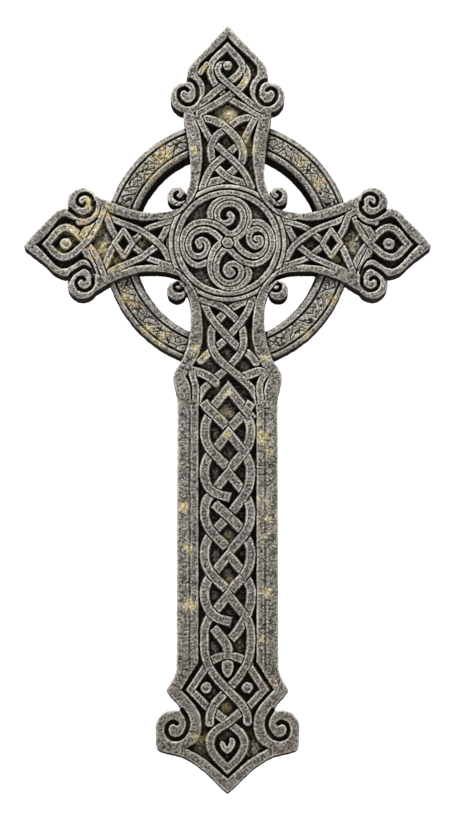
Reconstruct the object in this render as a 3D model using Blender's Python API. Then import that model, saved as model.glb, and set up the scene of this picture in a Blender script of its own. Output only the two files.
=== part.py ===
"""A ringed memorial cross, carved with knotwork from one block of stone.

The cross faces -Y. Its flat back lies on the plane Y = 0, and the origin is on that back, behind the
middle of the round medallion. The carving is set out on a square grid, as a carver would draw it on
the stone, and every point below is in steps of that grid, across from the axis and up from the middle.
"""
import math

import bmesh
import bpy
from mathutils import Matrix, Vector

MM = 0.001

GRID = 1.5 * MM              # one step of the carver's setting-out grid

THICKNESS = 84.0 * MM        # from the flat back to the rims
RING_THICKNESS = 70.0 * MM   # the open ring stands back from the rims
RING_OUTER = 182.0 * MM      # radius
RING_WIDTH = 43.0 * MM
RING_FILLET = 10.0 * MM      # raised border on both edges of the ring
RING_SINK = 5.0 * MM         # depth of the channel between those borders
RING_LEAF_LENGTH = 24.0 * MM
RING_LEAF_WIDTH = 8.0 * MM
RING_LEAF_STEP = 10.0        # degrees between the leaves of the ring
RING_LEAVES = 5              # in each open quarter
LEAF_DROP = 0.6 * MM         # the leaves lie this far below the ring's borders

PANEL_DEPTH = 13.0 * MM      # from the rims down to the floors behind the knotwork
STRAND_WIDTH = 11.0 * MM
STRAND_DROP = 2.0 * MM       # a strand that passes over lies this far below the rims
UNDER_DROP = 4.5 * MM        # a strand that passes under lies this much lower still
BOND = 3.0 * MM              # a strand runs this far into the stone below the floor

MEDALLION_RADIUS = 88.5 * MM
MEDALLION_RISE = 3.0 * MM    # the medallion stands proud of the rims
MEDALLION_BAND = 7.0 * MM
MEDALLION_GROOVE = 2.2 * MM
SPIRAL_WIDTH = 7.0 * MM
BOSS_RADIUS = 7.5 * MM

SCROLL_RADIUS = 22.0 * MM
FOOT_SCROLL_RADIUS = 26.0 * MM
CURL_RADIUS = 13.0 * MM      # the small scrolls in the four corners of the crossing
SCROLL_RISE = 1.2 * MM       # scrolls stand this proud of the rims
CURL_RISE = 0.7 * MM
GROOVE_WIDTH = 4.0 * MM
GROOVE_DEPTH = 7.0 * MM
FILLET_RISE = 1.6 * MM       # the fillets beside the shaft stand proud of its flat borders

SHAFT_PANEL_HALF = 44.0 * MM
SHAFT_FILLET_WIDTH = 10.0 * MM
SHAFT_FILLET_TOP = -246.0 * MM   # heights between which the shaft runs straight
SHAFT_FILLET_END = -630.0 * MM
SHAFT_TOP = -207.0 * MM      # height of the first crossing of the shaft's plait
PLAIT_PITCH = 61.0 * MM
PLAIT_CROSSINGS = 7
PLAIT_HALF = 35.0 * MM       # from the axis to where a strand turns back
PLAIT_SIDE = 21.0 * MM       # from the axis to the crossings at the sides

SLIP = 0.2 * MM              # keeps faces of joined shapes off each other's planes
CUT_ABOVE = 12.0 * MM        # a cutter reaches this far out of the stone
SPARE = 6.0 * MM             # stone behind the back, which is cut away flat at the end

STONE_COLOUR = (0.205, 0.19, 0.165, 1.0)

# Corners are sharp points of an outline; the rest of its points are joined by a smooth line.
CORNER, SMOOTH = True, False

# The right half of the upright, from the tip of the top down to the tip of the foot.
UPRIGHT = [
    (0, 219, CORNER), (9, 206, SMOOTH), (21, 195, SMOOTH), (34, 184, SMOOTH), (39.5, 176, SMOOTH),
    (40, 166, SMOOTH), (43, 158, CORNER), (44, 122, CORNER), (40, 110, SMOOTH), (37, 90, SMOOTH),
    (37, 66, SMOOTH), (41, 48, CORNER), (41, -48, CORNER), (37.5, -62, SMOOTH), (37, -78, SMOOTH),
    (39, -100, SMOOTH), (45, -118, SMOOTH), (51, -126, SMOOTH), (54.5, -133, CORNER),
    (50.5, -144, SMOOTH), (49.5, -160, CORNER), (49.5, -425, CORNER), (54, -432, SMOOTH),
    (60, -444, CORNER), (56, -452, SMOOTH), (52, -460, CORNER), (50, -478, CORNER),
    (70, -503, CORNER), (54, -508, SMOOTH), (36, -519, SMOOTH), (18, -533, SMOOTH), (0, -550, CORNER),
]
# The right arm, from the crossing out to its tip and back.
ARM = [
    (40, 34, CORNER), (56, 33, SMOOTH), (72, 31, SMOOTH), (88, 32, SMOOTH), (104, 36, SMOOTH),
    (126, 45, CORNER), (146, 54, CORNER), (160, 35, SMOOTH), (169, 32, SMOOTH), (182, 20, SMOOTH),
    (193, 10, SMOOTH), (203, -2, CORNER), (193, -11, SMOOTH), (182, -20, SMOOTH), (169, -32, SMOOTH),
    (160, -35, SMOOTH), (146, -56, CORNER), (126, -45, CORNER), (104, -36, SMOOTH), (88, -32, SMOOTH),
    (72, -31, SMOOTH), (56, -33, SMOOTH), (40, -34, CORNER),
]
# Sunk floors: right halves for those on the axis, and the whole of the right arm's.
TOP_FLOOR = [
    (0, 207, CORNER), (6, 200, SMOOTH), (13, 193, SMOOTH), (23, 185, SMOOTH), (29, 178, SMOOTH),
    (29.5, 170, SMOOTH), (25, 161, SMOOTH), (15, 149, SMOOTH), (21, 139, SMOOTH), (33, 129, CORNER),
    (29, 112, SMOOTH), (27, 90, SMOOTH), (27, 66, SMOOTH), (31, 50, CORNER),
]
NECK_FLOOR = [
    (28, -52, CORNER), (27, -62, SMOOTH), (27, -80, SMOOTH), (30, -102, SMOOTH), (38, -123, SMOOTH),
    (42, -132, CORNER), (33, -144, SMOOTH), (29, -160, CORNER),
]
FOOT_FLOOR = [
    (29, -424, CORNER), (43, -446, CORNER), (36, -455, SMOOTH), (28, -465, SMOOTH),
    (26, -474, SMOOTH), (27, -487, SMOOTH), (32, -497, SMOOTH), (42, -503, CORNER),
    (32, -508, SMOOTH), (20, -517, SMOOTH), (9, -527, SMOOTH), (0, -536, CORNER),
]
ARM_FLOOR = [
    (53, 30, CORNER), (60, 25, SMOOTH), (80, 22, SMOOTH), (98, 25, SMOOTH), (125, 35, CORNER),
    (131, 24, SMOOTH), (140, 20, SMOOTH), (150, 25, SMOOTH), (162, 27, SMOOTH), (170, 21, SMOOTH),
    (180, 10, SMOOTH), (192, -1, CORNER), (180, -12, SMOOTH), (170, -22, SMOOTH), (162, -28, SMOOTH),
    (150, -24, SMOOTH), (140, -21, SMOOTH), (131, -25, SMOOTH), (125, -35, CORNER),
    (98, -26, SMOOTH), (80, -21, SMOOTH), (60, -24, SMOOTH), (53, -30, CORNER),
]

# Strands of the knotwork, each with its mirror image on the other side of the axis. The third
# number is the level: 1 where the strand passes over, 0 where it passes under.
OVER, UNDER = 1.0, 0.0
TOP_STRANDS = [
    [(-27, 125, OVER), (-14, 122, OVER), (3, 112, OVER), (12, 101, OVER), (14.5, 88, UNDER),
     (8, 76, OVER), (-4, 67, UNDER), (-25, 58, OVER)],
    [(-27, 120, OVER), (-19, 104, OVER), (-9, 97, UNDER), (1, 88, OVER), (13, 76, UNDER), (24, 55, OVER)],
    [(0.5, 197, OVER), (-8, 190, OVER), (-15, 180, OVER), (-15, 170, OVER), (-9, 158, UNDER),
     (1, 147, OVER), (14, 138, OVER), (29, 130, UNDER)],
    [(-36, 137, OVER), (-28, 139, OVER), (-19, 146, UNDER)],
]
NECK_STRANDS = [
    [(-25, -58, OVER), (-12, -62, OVER), (3, -73, UNDER), (14, -84, OVER), (17, -98, UNDER),
     (12, -111, OVER), (-1, -125, UNDER), (-14, -137, OVER), (-24, -145, UNDER), (-30, -158, OVER)],
    [(-25, -62, UNDER), (-19, -72, OVER), (-9, -84, UNDER), (2, -95, OVER), (12, -105, UNDER),
     (22, -113, OVER), (33, -125, OVER)],
    [(-37, -120.5, OVER), (-24, -127, OVER), (-13, -136, UNDER)],
]
FOOT_STRANDS = [
    [(-23, -392, OVER), (-23, -412, OVER), (-18, -424, UNDER), (0, -444.5, OVER), (15, -461, UNDER),
     (19, -475, OVER), (8, -481, UNDER)],
    [(-22, -426, UNDER), (-36.5, -444.5, OVER), (-21, -463, UNDER)],
    [(14, -462, UNDER), (1, -477, OVER), (-11, -484, UNDER), (-18.5, -493, OVER), (-18, -506, OVER),
     (-9, -518, OVER), (0.5, -527, OVER)],
]
ARCH = [(-20, -414, OVER), (-11, -409, OVER), (0, -408, OVER), (11, -409, OVER), (20, -414, OVER)]
# Strands of the right arm, each with its mirror image below the arm's own axis.
ARM_STRANDS = [
    [(127, 29, OVER), (110, 23, OVER), (96, 19, UNDER), (82, 10, OVER), (71, 1.5, OVER),
     (62, -10, UNDER), (55, -25, OVER)],
    [(88, 13, UNDER), (72, 18, OVER), (54, 24, OVER)],
    [(124, 30, UNDER), (131, 17, OVER), (140, 2, OVER), (150, -9, UNDER), (162, -13.5, OVER),
     (172, -9, OVER), (181, 0.5, OVER)],
    [(121, 24, OVER), (112, 6, UNDER), (103, -4, OVER), (92, -14, UNDER)],
]
# One lobe of the medallion: its outer strand, and the inner one that winds up round its eye.
LOBE_OUTER = [(-17, 25), (-17, 32), (-12, 39), (0, 42.5), (12, 39), (19, 29), (18, 17), (11, 7), (4, 1)]
LOBE_INNER = [(-4, 6), (6, 9), (12, 17), (13, 26), (8, 33.5), (0, 35.5), (-8, 31), (-9, 23),
              (-3, 18.5), (3, 22), (1, 27)]

# A sheet wider and higher than the cross, for cutting its back flat.
BACK_CUT = [(230, 250, CORNER), (-230, 250, CORNER), (-230, -580, CORNER), (230, -580, CORNER)]

# Centres of the scrolls on the right, with the turn of each groove: its start angle and its sense.
SCROLLS = [(40.5, 148, 100, 1), (145.5, 40, 190, -1), (145.5, -41, 170, 1)]
FOOT_SCROLL = (53.5, -484, 80, -1)
CURLS = [(48.5, 49), (49, -46)]
BUDS = [(0, 178, 4.5), (160.5, 0, 5), (-160.5, 0, 5), (20, -443, 5), (-20, -443, 5), (0, -500, 7)]


def clear_scene():
    for old in list(bpy.data.objects):
        bpy.data.objects.remove(old, do_unlink=True)


def new_collection(name):
    group = bpy.data.collections.new(name)
    bpy.context.scene.collection.children.link(group)
    return group


def add_object(name, mesh, group):
    """Everything is drawn lying on its back, and stood up by this turn to face -Y."""
    made = bpy.data.objects.new(name, mesh)
    made.rotation_euler = (math.radians(90), 0, 0)
    group.objects.link(made)
    return made


def mesh_from(bm, name):
    """Close a bmesh into a mesh with its faces pointing out."""
    bmesh.ops.remove_doubles(bm, verts=bm.verts, dist=0.00001)
    bmesh.ops.recalc_face_normals(bm, faces=bm.faces)
    mesh = bpy.data.meshes.new(name)
    bm.to_mesh(mesh)
    bm.free()
    return mesh


def plate(name, outline, bottom, top, group, resolution=2):
    """A flat outline as a 2D curve, extruded between two heights above the back."""
    curve = bpy.data.curves.new(name, "CURVE")
    curve.dimensions = "2D"
    curve.fill_mode = "BOTH"
    curve.extrude = (top - bottom) / 2
    curve.resolution_u = resolution
    spline = curve.splines.new("BEZIER")
    spline.bezier_points.add(len(outline) - 1)
    spline.use_cyclic_u = True
    for point, (x, z, corner) in zip(spline.bezier_points, outline):
        point.co = (x * GRID, z * GRID, 0)
        kind = "VECTOR" if corner else "AUTO"
        point.handle_left_type = kind
        point.handle_right_type = kind
    holder = bpy.data.objects.new(name, curve)
    group.objects.link(holder)
    bpy.context.view_layer.update()
    seen = holder.evaluated_get(bpy.context.evaluated_depsgraph_get())
    bm = bmesh.new()
    bm.from_mesh(bpy.data.meshes.new_from_object(seen))
    bpy.data.objects.remove(holder, do_unlink=True)
    bmesh.ops.translate(bm, vec=(0, 0, (top + bottom) / 2), verts=bm.verts)
    bmesh.ops.remove_doubles(bm, verts=bm.verts, dist=0.00001)
    bmesh.ops.dissolve_limit(bm, angle_limit=math.radians(0.2), verts=bm.verts, edges=bm.edges)
    return add_object(name, mesh_from(bm, name), group)


def mirrored(half):
    """A whole outline from its right half, whose first or last points may lie on the axis."""
    left = [(-x, z, corner) for x, z, corner in reversed(half) if x > 0]
    return half + left


def disc(name, x, z, radius, bottom, top, group, sides=18):
    """A round block, centred on a place in metres."""
    bm = bmesh.new()
    place = Matrix.Translation((x, z, (top + bottom) / 2))
    bmesh.ops.create_cone(bm, cap_ends=True, segments=sides, radius1=radius, radius2=radius,
                          depth=top - bottom, matrix=place)
    return add_object(name, mesh_from(bm, name), group)


def smooth_line(points, steps):
    """Points along a smooth line that passes through every given point."""
    line = []
    last = len(points) - 1
    for i in range(last):
        before = points[max(i - 1, 0)]
        start = points[i]
        end = points[i + 1]
        after = points[min(i + 2, last)]
        for step in range(steps):
            t = step / steps
            bend = (before * -1 + start * 3 - end * 3 + after) * (t ** 3)
            curve = (before * 2 - start * 5 + end * 4 - after) * (t ** 2)
            line.append((start * 2 + (end - before) * t + curve + bend) / 2)
    line.append(points[last].copy())
    return line


def ribbon(name, line, width, bottom, group):
    """A strand with a flat top, swept along a line whose third coordinate is the height of its top."""
    bm = bmesh.new()
    rings = []
    for i, here in enumerate(line):
        ahead = line[min(i + 1, len(line) - 1)]
        behind = line[max(i - 1, 0)]
        along = Vector((ahead.x - behind.x, ahead.y - behind.y)).normalized()
        side = Vector((-along.y, along.x)) * (width / 2)
        left = Vector((here.x + side.x, here.y + side.y))
        right = Vector((here.x - side.x, here.y - side.y))
        rings.append([
            bm.verts.new((left.x, left.y, bottom)), bm.verts.new((left.x, left.y, here.z)),
            bm.verts.new((right.x, right.y, here.z)), bm.verts.new((right.x, right.y, bottom)),
        ])
    for first, second in zip(rings, rings[1:]):
        for i in range(4):
            bm.faces.new((first[i], first[(i + 1) % 4], second[(i + 1) % 4], second[i]))
    bm.faces.new(rings[0])
    bm.faces.new(reversed(rings[-1]))
    return add_object(name, mesh_from(bm, name), group)


def strand_line(points, steps, flip_x=1, flip_z=1):
    """A strand's line in metres, with its level turned into the height of its top."""
    top = THICKNESS - STRAND_DROP
    return smooth_line([
        Vector((x * GRID * flip_x, z * GRID * flip_z, top - UNDER_DROP * (1 - level)))
        for x, z, level in points
    ], steps)


def strand(name, points, group, steps=1, flip_x=1, flip_z=1, width=STRAND_WIDTH):
    bottom = THICKNESS - PANEL_DEPTH - BOND
    return ribbon(name, strand_line(points, steps, flip_x, flip_z), width, bottom, group)


def spiral_groove(name, x, z, radius, start, sense, top, group, turns=1.1, steps=8):
    """The cutter of a scroll's groove, which winds in from the edge round the scroll's eye."""
    line = []
    for i in range(steps):
        share = i / (steps - 1)
        angle = math.radians(start) + sense * share * turns * 2 * math.pi
        reach = radius * (0.72 - 0.4 * share)
        line.append(Vector((x + reach * math.cos(angle), z + reach * math.sin(angle), top + BOND)))
    return ribbon(name, line, GROOVE_WIDTH, top - GROOVE_DEPTH, group)


def ring_plate(name, outer, inner, bottom, top, group, sides=48):
    """A flat ring round the origin, as a 2D curve with a hole."""
    curve = bpy.data.curves.new(name, "CURVE")
    curve.dimensions = "2D"
    curve.fill_mode = "BOTH"
    curve.extrude = (top - bottom) / 2
    for radius in (outer, inner):
        spline = curve.splines.new("POLY")
        spline.points.add(sides - 1)
        spline.use_cyclic_u = True
        for i, point in enumerate(spline.points):
            angle = 2 * math.pi * i / sides
            point.co = (radius * math.cos(angle), radius * math.sin(angle), 0, 1)
    holder = bpy.data.objects.new(name, curve)
    group.objects.link(holder)
    bpy.context.view_layer.update()
    seen = holder.evaluated_get(bpy.context.evaluated_depsgraph_get())
    bm = bmesh.new()
    bm.from_mesh(bpy.data.meshes.new_from_object(seen))
    bpy.data.objects.remove(holder, do_unlink=True)
    bmesh.ops.translate(bm, vec=(0, 0, (top + bottom) / 2), verts=bm.verts)
    return add_object(name, mesh_from(bm, name), group)


def make_blocks(group):
    """The blocks that the cross is cut from: arms and scrolls, which join the upright."""
    for flip, side in ((1, "right"), (-1, "left")):
        outline = [(x * flip, z, corner) for x, z, corner in ARM]
        plate("arm_" + side, outline, -SPARE / 2, THICKNESS - SLIP, group)
        for i, (x, z, start, sense) in enumerate(SCROLLS):
            disc(f"scroll_{side}_{i}", x * GRID * flip, z * GRID, SCROLL_RADIUS, -SPARE / 3,
                 THICKNESS + SCROLL_RISE, group)
        x, z, start, sense = FOOT_SCROLL
        disc(f"foot_scroll_{side}", x * GRID * flip, z * GRID, FOOT_SCROLL_RADIUS, -SPARE / 3,
             THICKNESS + SCROLL_RISE, group)
        for i, (x, z) in enumerate(CURLS):
            disc(f"curl_{side}_{i}", x * GRID * flip, z * GRID, CURL_RADIUS, -SPARE / 4,
                 THICKNESS + CURL_RISE, group, sides=14)


def make_sinkings(group):
    """Cutters of the sunk floors behind the knotwork and the spirals."""
    floor = THICKNESS - PANEL_DEPTH
    above = THICKNESS + CUT_ABOVE
    half = SHAFT_PANEL_HALF / GRID
    shaft = [(half, SHAFT_FILLET_TOP / GRID, CORNER), (half, SHAFT_FILLET_END / GRID, CORNER)]
    right = TOP_FLOOR + NECK_FLOOR + shaft + FOOT_FLOOR
    plate("upright_floor", mirrored(right), floor, above, group)
    for flip, side in ((1, "right"), (-1, "left")):
        outline = [(x * flip, z, corner) for x, z, corner in ARM_FLOOR]
        plate("arm_floor_" + side, outline, floor - SLIP, above, group)
    disc("medallion_floor", 0, 0, MEDALLION_RADIUS - BOND, floor - 2 * SLIP, above, group, sides=48)


def make_grooves(group):
    """Cutters of the medallion's groove and of the winding grooves of the scrolls."""
    outer = MEDALLION_RADIUS - MEDALLION_BAND
    top = THICKNESS + MEDALLION_RISE
    ring_plate("medallion_groove", outer, outer - MEDALLION_GROOVE, top - GROOVE_DEPTH,
               top + CUT_ABOVE, group, 44)
    for flip, side in ((1, "right"), (-1, "left")):
        scrolls = [(place, SCROLL_RADIUS) for place in SCROLLS] + [(FOOT_SCROLL, FOOT_SCROLL_RADIUS)]
        for i, ((x, z, start, sense), radius) in enumerate(scrolls):
            turn = start if flip > 0 else 180 - start
            spiral_groove(f"groove_{side}_{i}", x * GRID * flip, z * GRID, radius, turn,
                          sense * flip, THICKNESS + SCROLL_RISE, group)


def plait_point(strand_index, half_step):
    """Where one of the plait's four strands is, after some half pitches from the first crossing."""
    phase = (half_step + 2 * strand_index) % 8
    across = (0, PLAIT_SIDE, PLAIT_HALF, PLAIT_SIDE, 0, -PLAIT_SIDE, -PLAIT_HALF, -PLAIT_SIDE)[phase]
    level = (OVER, UNDER, OVER, OVER, UNDER, OVER, OVER, UNDER)[phase]
    height = SHAFT_TOP - half_step * PLAIT_PITCH / 2
    return across / GRID, height / GRID, level


def make_knotwork(group):
    for flip, side in ((1, "a"), (-1, "b")):
        for kind, strands in (("top", TOP_STRANDS), ("neck", NECK_STRANDS), ("foot", FOOT_STRANDS)):
            for i, points in enumerate(strands):
                strand(f"{kind}_{side}_{i}", points, group, flip_x=flip)
        for end, out in (("right", 1), ("left", -1)):
            for i, points in enumerate(ARM_STRANDS):
                strand(f"arm_{end}_{side}_{i}", points, group, flip_x=out, flip_z=flip)
    strand("arch", ARCH, group)
    for index in range(4):
        points = [plait_point(index, half_step) for half_step in range(2 * PLAIT_CROSSINGS - 1)]
        strand(f"plait_{index}", points, group)
    bottom = THICKNESS - PANEL_DEPTH - BOND
    for i, (x, z, radius) in enumerate(BUDS):
        disc(f"bud_{i}", x * GRID, z * GRID, radius * GRID, bottom, THICKNESS - STRAND_DROP, group, 8)


def make_shaft_fillets(group):
    """The plain fillets that run down both sides of the shaft's plait."""
    top = THICKNESS + FILLET_RISE
    reach = SHAFT_PANEL_HALF + SHAFT_FILLET_WIDTH / 2
    for side in (-1, 1):
        line = [Vector((side * reach, SHAFT_FILLET_TOP, top)), Vector((side * reach, SHAFT_FILLET_END, top))]
        ribbon(f"fillet_{side}", line, SHAFT_FILLET_WIDTH, THICKNESS - PANEL_DEPTH - BOND, group)


def make_spirals(group):
    """The medallion: its round border, four double spirals and the boss in the middle."""
    top = THICKNESS + MEDALLION_RISE - STRAND_DROP
    bottom = THICKNESS - PANEL_DEPTH - BOND
    border = 2 * MEDALLION_BAND + MEDALLION_GROOVE
    ring_plate("medallion_border", MEDALLION_RADIUS, MEDALLION_RADIUS - border, bottom,
               THICKNESS + MEDALLION_RISE, group, 44)
    for quarter in range(4):
        turn = Matrix.Rotation(math.radians(90 * quarter), 3, "Z")
        for kind, points, drop in (("outer", LOBE_OUTER, 0), ("inner", LOBE_INNER, 0.0008)):
            line = smooth_line([turn @ Vector((x * GRID, z * GRID, top - drop)) for x, z in points], 1)
            ribbon(f"spiral_{kind}_{quarter}", line, SPIRAL_WIDTH, bottom, group)
    disc("boss", 0, 0, BOSS_RADIUS, bottom, top + MEDALLION_RISE / 2, group, 10)


def make_ring(group, channel, leaves):
    """The open ring: raised borders, a channel between them, and slanting leaves along the channel."""
    ring = ring_plate("ring", RING_OUTER, RING_OUTER - RING_WIDTH, -SPARE / 5, RING_THICKNESS, group)
    ring_plate("ring_channel", RING_OUTER - RING_FILLET, RING_OUTER - RING_WIDTH + RING_FILLET,
               RING_THICKNESS - RING_SINK, RING_THICKNESS + CUT_ABOVE, channel, 44)
    middle = RING_OUTER - RING_WIDTH / 2
    top = RING_THICKNESS - LEAF_DROP
    bottom = RING_THICKNESS - RING_SINK - BOND
    for quarter in range(4):
        for i in range(RING_LEAVES):
            angle = math.radians(90 * quarter + 45 + (i - (RING_LEAVES - 1) / 2) * RING_LEAF_STEP)
            out = Vector((math.cos(angle), math.sin(angle), 0))
            round_way = Vector((-out.y, out.x, 0)) * (1 if i % 2 else -1)
            lean = (out + round_way).normalized() * (RING_LEAF_LENGTH / 2)
            heart = out * middle + Vector((0, 0, top))
            ribbon(f"leaf_{quarter}_{i}", [heart - lean, heart + lean], RING_LEAF_WIDTH, bottom, leaves)
    boolean(ring, channel, "DIFFERENCE")
    boolean(ring, leaves, "UNION")


def boolean(piece, group, operation):
    made = piece.modifiers.new(operation.lower(), "BOOLEAN")
    made.operation = operation
    made.solver = "EXACT"
    made.operand_type = "COLLECTION"
    made.collection = group


def stone():
    made = bpy.data.materials.new("carved_stone")
    made.use_nodes = True
    shader = made.node_tree.nodes["Principled BSDF"]
    shader.inputs["Base Color"].default_value = STONE_COLOUR
    shader.inputs["Roughness"].default_value = 0.9
    shader.inputs["Metallic"].default_value = 0.0
    return made


def hide_cutters(groups):
    """Guides and cutters are neither rendered nor part of the cross."""
    for group in groups:
        for piece in group.objects:
            piece.hide_render = True
            piece.display_type = "WIRE"


def build():
    clear_scene()
    parts = new_collection("memorial_cross")
    names = ("blocks", "sinkings", "raised_carving", "ring_parts", "ring_sinkings", "ring_leaves",
             "grooves", "back_cut")
    groups = list(map(new_collection, names))
    blocks, sinkings, raised, rings, ring_sinkings, leaves, grooves, backs = groups
    make_blocks(blocks)
    make_sinkings(sinkings)
    make_knotwork(raised)
    make_shaft_fillets(raised)
    make_spirals(raised)
    make_ring(rings, ring_sinkings, leaves)
    make_grooves(grooves)
    cross = plate("cross", mirrored(UPRIGHT), -SPARE, THICKNESS, parts)
    plate("behind_the_back", BACK_CUT, -2 * SPARE, 0, backs)
    for group, operation in ((blocks, "UNION"), (rings, "UNION"), (sinkings, "DIFFERENCE"),
                             (raised, "UNION"), (grooves, "DIFFERENCE"), (backs, "DIFFERENCE")):
        boolean(cross, group, operation)
    cross.data.materials.append(stone())
    hide_cutters(groups)


build()
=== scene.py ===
"""Looks of a ringed memorial cross: weathered, tooled stone carved with knotwork, with ochre lichen.

The front is drawn on a setting-out sheet, as a carver would draw it. A place on the sheet is two
numbers: steps across from the sheet's left edge, and steps down from its top. One step is 1.5 mm.
From that drawing the script works out how deep the stone is cut at every place, and raises fine
grids to it. Each grid is then given its side walls, its back and its ends, as one solid block.
"""
import math

import bmesh
import bpy
import numpy as np
from mathutils import Matrix, Vector


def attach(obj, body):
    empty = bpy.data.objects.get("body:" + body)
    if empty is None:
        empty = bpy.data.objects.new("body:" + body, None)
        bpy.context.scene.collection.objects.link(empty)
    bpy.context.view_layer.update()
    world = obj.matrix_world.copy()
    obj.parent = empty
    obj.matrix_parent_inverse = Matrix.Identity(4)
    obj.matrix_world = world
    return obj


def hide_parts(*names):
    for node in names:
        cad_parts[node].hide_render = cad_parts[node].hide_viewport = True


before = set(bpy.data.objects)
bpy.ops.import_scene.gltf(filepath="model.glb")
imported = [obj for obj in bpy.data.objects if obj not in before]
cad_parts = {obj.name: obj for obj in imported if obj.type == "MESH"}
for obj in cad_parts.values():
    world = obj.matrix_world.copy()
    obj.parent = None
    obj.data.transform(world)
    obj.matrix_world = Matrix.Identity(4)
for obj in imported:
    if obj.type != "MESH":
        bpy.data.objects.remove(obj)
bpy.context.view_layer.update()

MM = 0.001
STEP = 1.5                    # mm, one step of the setting-out sheet
AXIS = 227.6                  # steps across to the cross's own axis
MIDDLE = 244.0                # steps down to the middle of the medallion
CELL = 0.76 / STEP            # spacing of the carved surface's points, in steps
SHEET_LEFT, SHEET_TOP, SHEET_RIGHT, SHEET_BOTTOM = 20.0, 18.0, 436.0, 800.0

# Depths in mm. Rim height 0 is the plane of the rims, and the back lies RIM_TO_BACK behind it.
RIM_TO_BACK = 84.0
RING_BACK = 14.0              # the ring stands this far behind the rims
RING_FLARE = 4.5              # mm, the ring's inner wall runs in this much towards its back
FLOOR = 13.5                  # depth of the floors behind the knotwork
STRAND_TOP = -1.2             # height of a strand that passes over
UNDER_DIP = 4.2               # a strand that passes under lies this much lower
GUTTER = 8.5                  # depth of the dark line beside a strand that passes over
GUTTER_WIDTH = 1.1            # steps
EDGE_ROUND = 1.1              # mm, worn rounding of a strand's edges
WALL_SLOPE = 11.0             # mm of fall in one step sideways
MEDALLION_RISE = 2.2
GROOVE_DEPTH = 10.0
OUTER_ROUND = 8.2             # mm, rounding of the cross's outline
INNER_ROUND = 7.5             # mm, rounding of the rims where they meet a floor
TICK_DEPTH = 0.5              # mm, the chisel's ticks across strands and rims
BUD_DOME = 3.4                # mm, fall of a bud from its crown to its edge
OUTER_FALL = 0.8              # of OUTER_ROUND, how far the outline's rounding falls
INNER_FALL = 3.8              # mm, how far a rim falls to the floor's edge
LEAF_DEPTH = 4.0              # mm, strokes between the ring's leaves
FILLET_LINE_DEPTH = 5.5       # mm, the lines beside the ring's fillets
FILLET_CROWN = 1.4            # mm, fall of a fillet from its middle to its edges
BORDER_LINE = 37.6            # steps from the axis to the line down each border of the shaft
BORDER_LINE_DEPTH = 3.0       # mm
BAND_GROOVE = 4.8             # steps in from the medallion's edge to the groove between its bands
BAND_END = 11.0               # steps in from the medallion's edge to its sunk field
PIT_DEPTH = 2.5               # mm, the small pit in each bud
LEAST_SLOPE = 0.2             # a border point moves onto the outline where the squared slope is more

RING_OUTER, RING_INNER = 123.6, 95.4   # steps from the middle
MEDALLION = 58.6

# An outline's points are places as half widths from the axis, and steps down. C marks a corner.
C = True
UPRIGHT = [
    (0, 25.1, C), (5, 30.8), (11.5, 38), (22.5, 49.5), (33.5, 61), (38.5, 68), (40.3, 76), (41, 84, C),
    (44, 118, C), (42.5, 126), (39.8, 138), (38, 152), (37, 168), (37.2, 182), (41, 192, C),
    (41, 292, C), (37.5, 304), (36.8, 318), (37, 330), (39, 343), (43, 356), (48.5, 366), (53, 373),
    (54.3, 378.5, C), (52.3, 388), (50.4, 396), (49.8, 404, C), (50.5, 668, C), (53, 676), (57.5, 684),
    (60.3, 689.5, C), (57, 694.5), (51, 701), (46.5, 707, C), (56, 722, C), (71.2, 726, C),
    (71.2, 743, C), (69.6, 747.6), (64, 750.6), (46.5, 755), (35, 761), (26.5, 767), (19.5, 773),
    (13.5, 779), (7, 785.5), (0, 791.5, C),
]
ARM = [
    (38, 207, C), (55.6, 211.5), (66, 213.4), (77.6, 213.2), (87.6, 212), (102.6, 208), (115.6, 203),
    (127, 198, C), (145, 189, C), (158, 209.5, C), (163, 209), (169.4, 211), (174.4, 215.5),
    (182.4, 224), (192.4, 234), (202.2, 245.5, C), (202, 248.6), (192.4, 256), (182.4, 264),
    (175.4, 271), (169.4, 275), (163, 277), (157, 277, C), (145, 299, C), (127, 290, C), (116, 283),
    (103, 277.5), (88, 273.6), (78, 272.6), (64, 273), (55, 275), (38, 281, C),
]
SCROLL_DISCS = [
    (41.6, 98, 15.3), (144.6, 203.5, 15.0), (144.6, 284.8, 15.0), (53.7, 727.2, 17.8),
    (50.6, 197.2, 9.6), (50.6, 291.5, 9.8),
]
# Sunk floors, in the same way.
TOP_FLOOR = [
    (0, 36.5, C), (5.5, 43), (12.7, 50), (22.5, 58.7), (28, 64.5), (30.3, 70.5), (29.8, 75.5),
    (25.5, 81), (23, 86), (22.6, 90), (23.6, 96), (27, 104), (33.3, 114.8, C), (31.6, 120), (28.6, 130),
    (26.4, 140), (25.6, 150), (25.6, 160), (26.6, 170), (28.6, 180), (31.5, 192, C),
]
LOW_FLOOR = [
    (27.2, 296, C), (26.4, 310), (25.4, 322), (24.8, 335), (26.4, 347), (30.4, 359), (35, 367),
    (41.8, 376.8, C), (37.6, 386), (36.5, 394), (36.5, 400, C), (29.2, 404, C), (29.2, 662, C),
    (33, 667.5, C), (46.4, 689.4, C), (38.4, 697.6), (30.4, 708), (26.6, 718), (26.7, 730), (31.6, 741),
    (41.6, 747.4, C), (32.6, 752), (20.6, 759.6), (9.8, 769), (0, 777.6, C),
]
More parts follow.
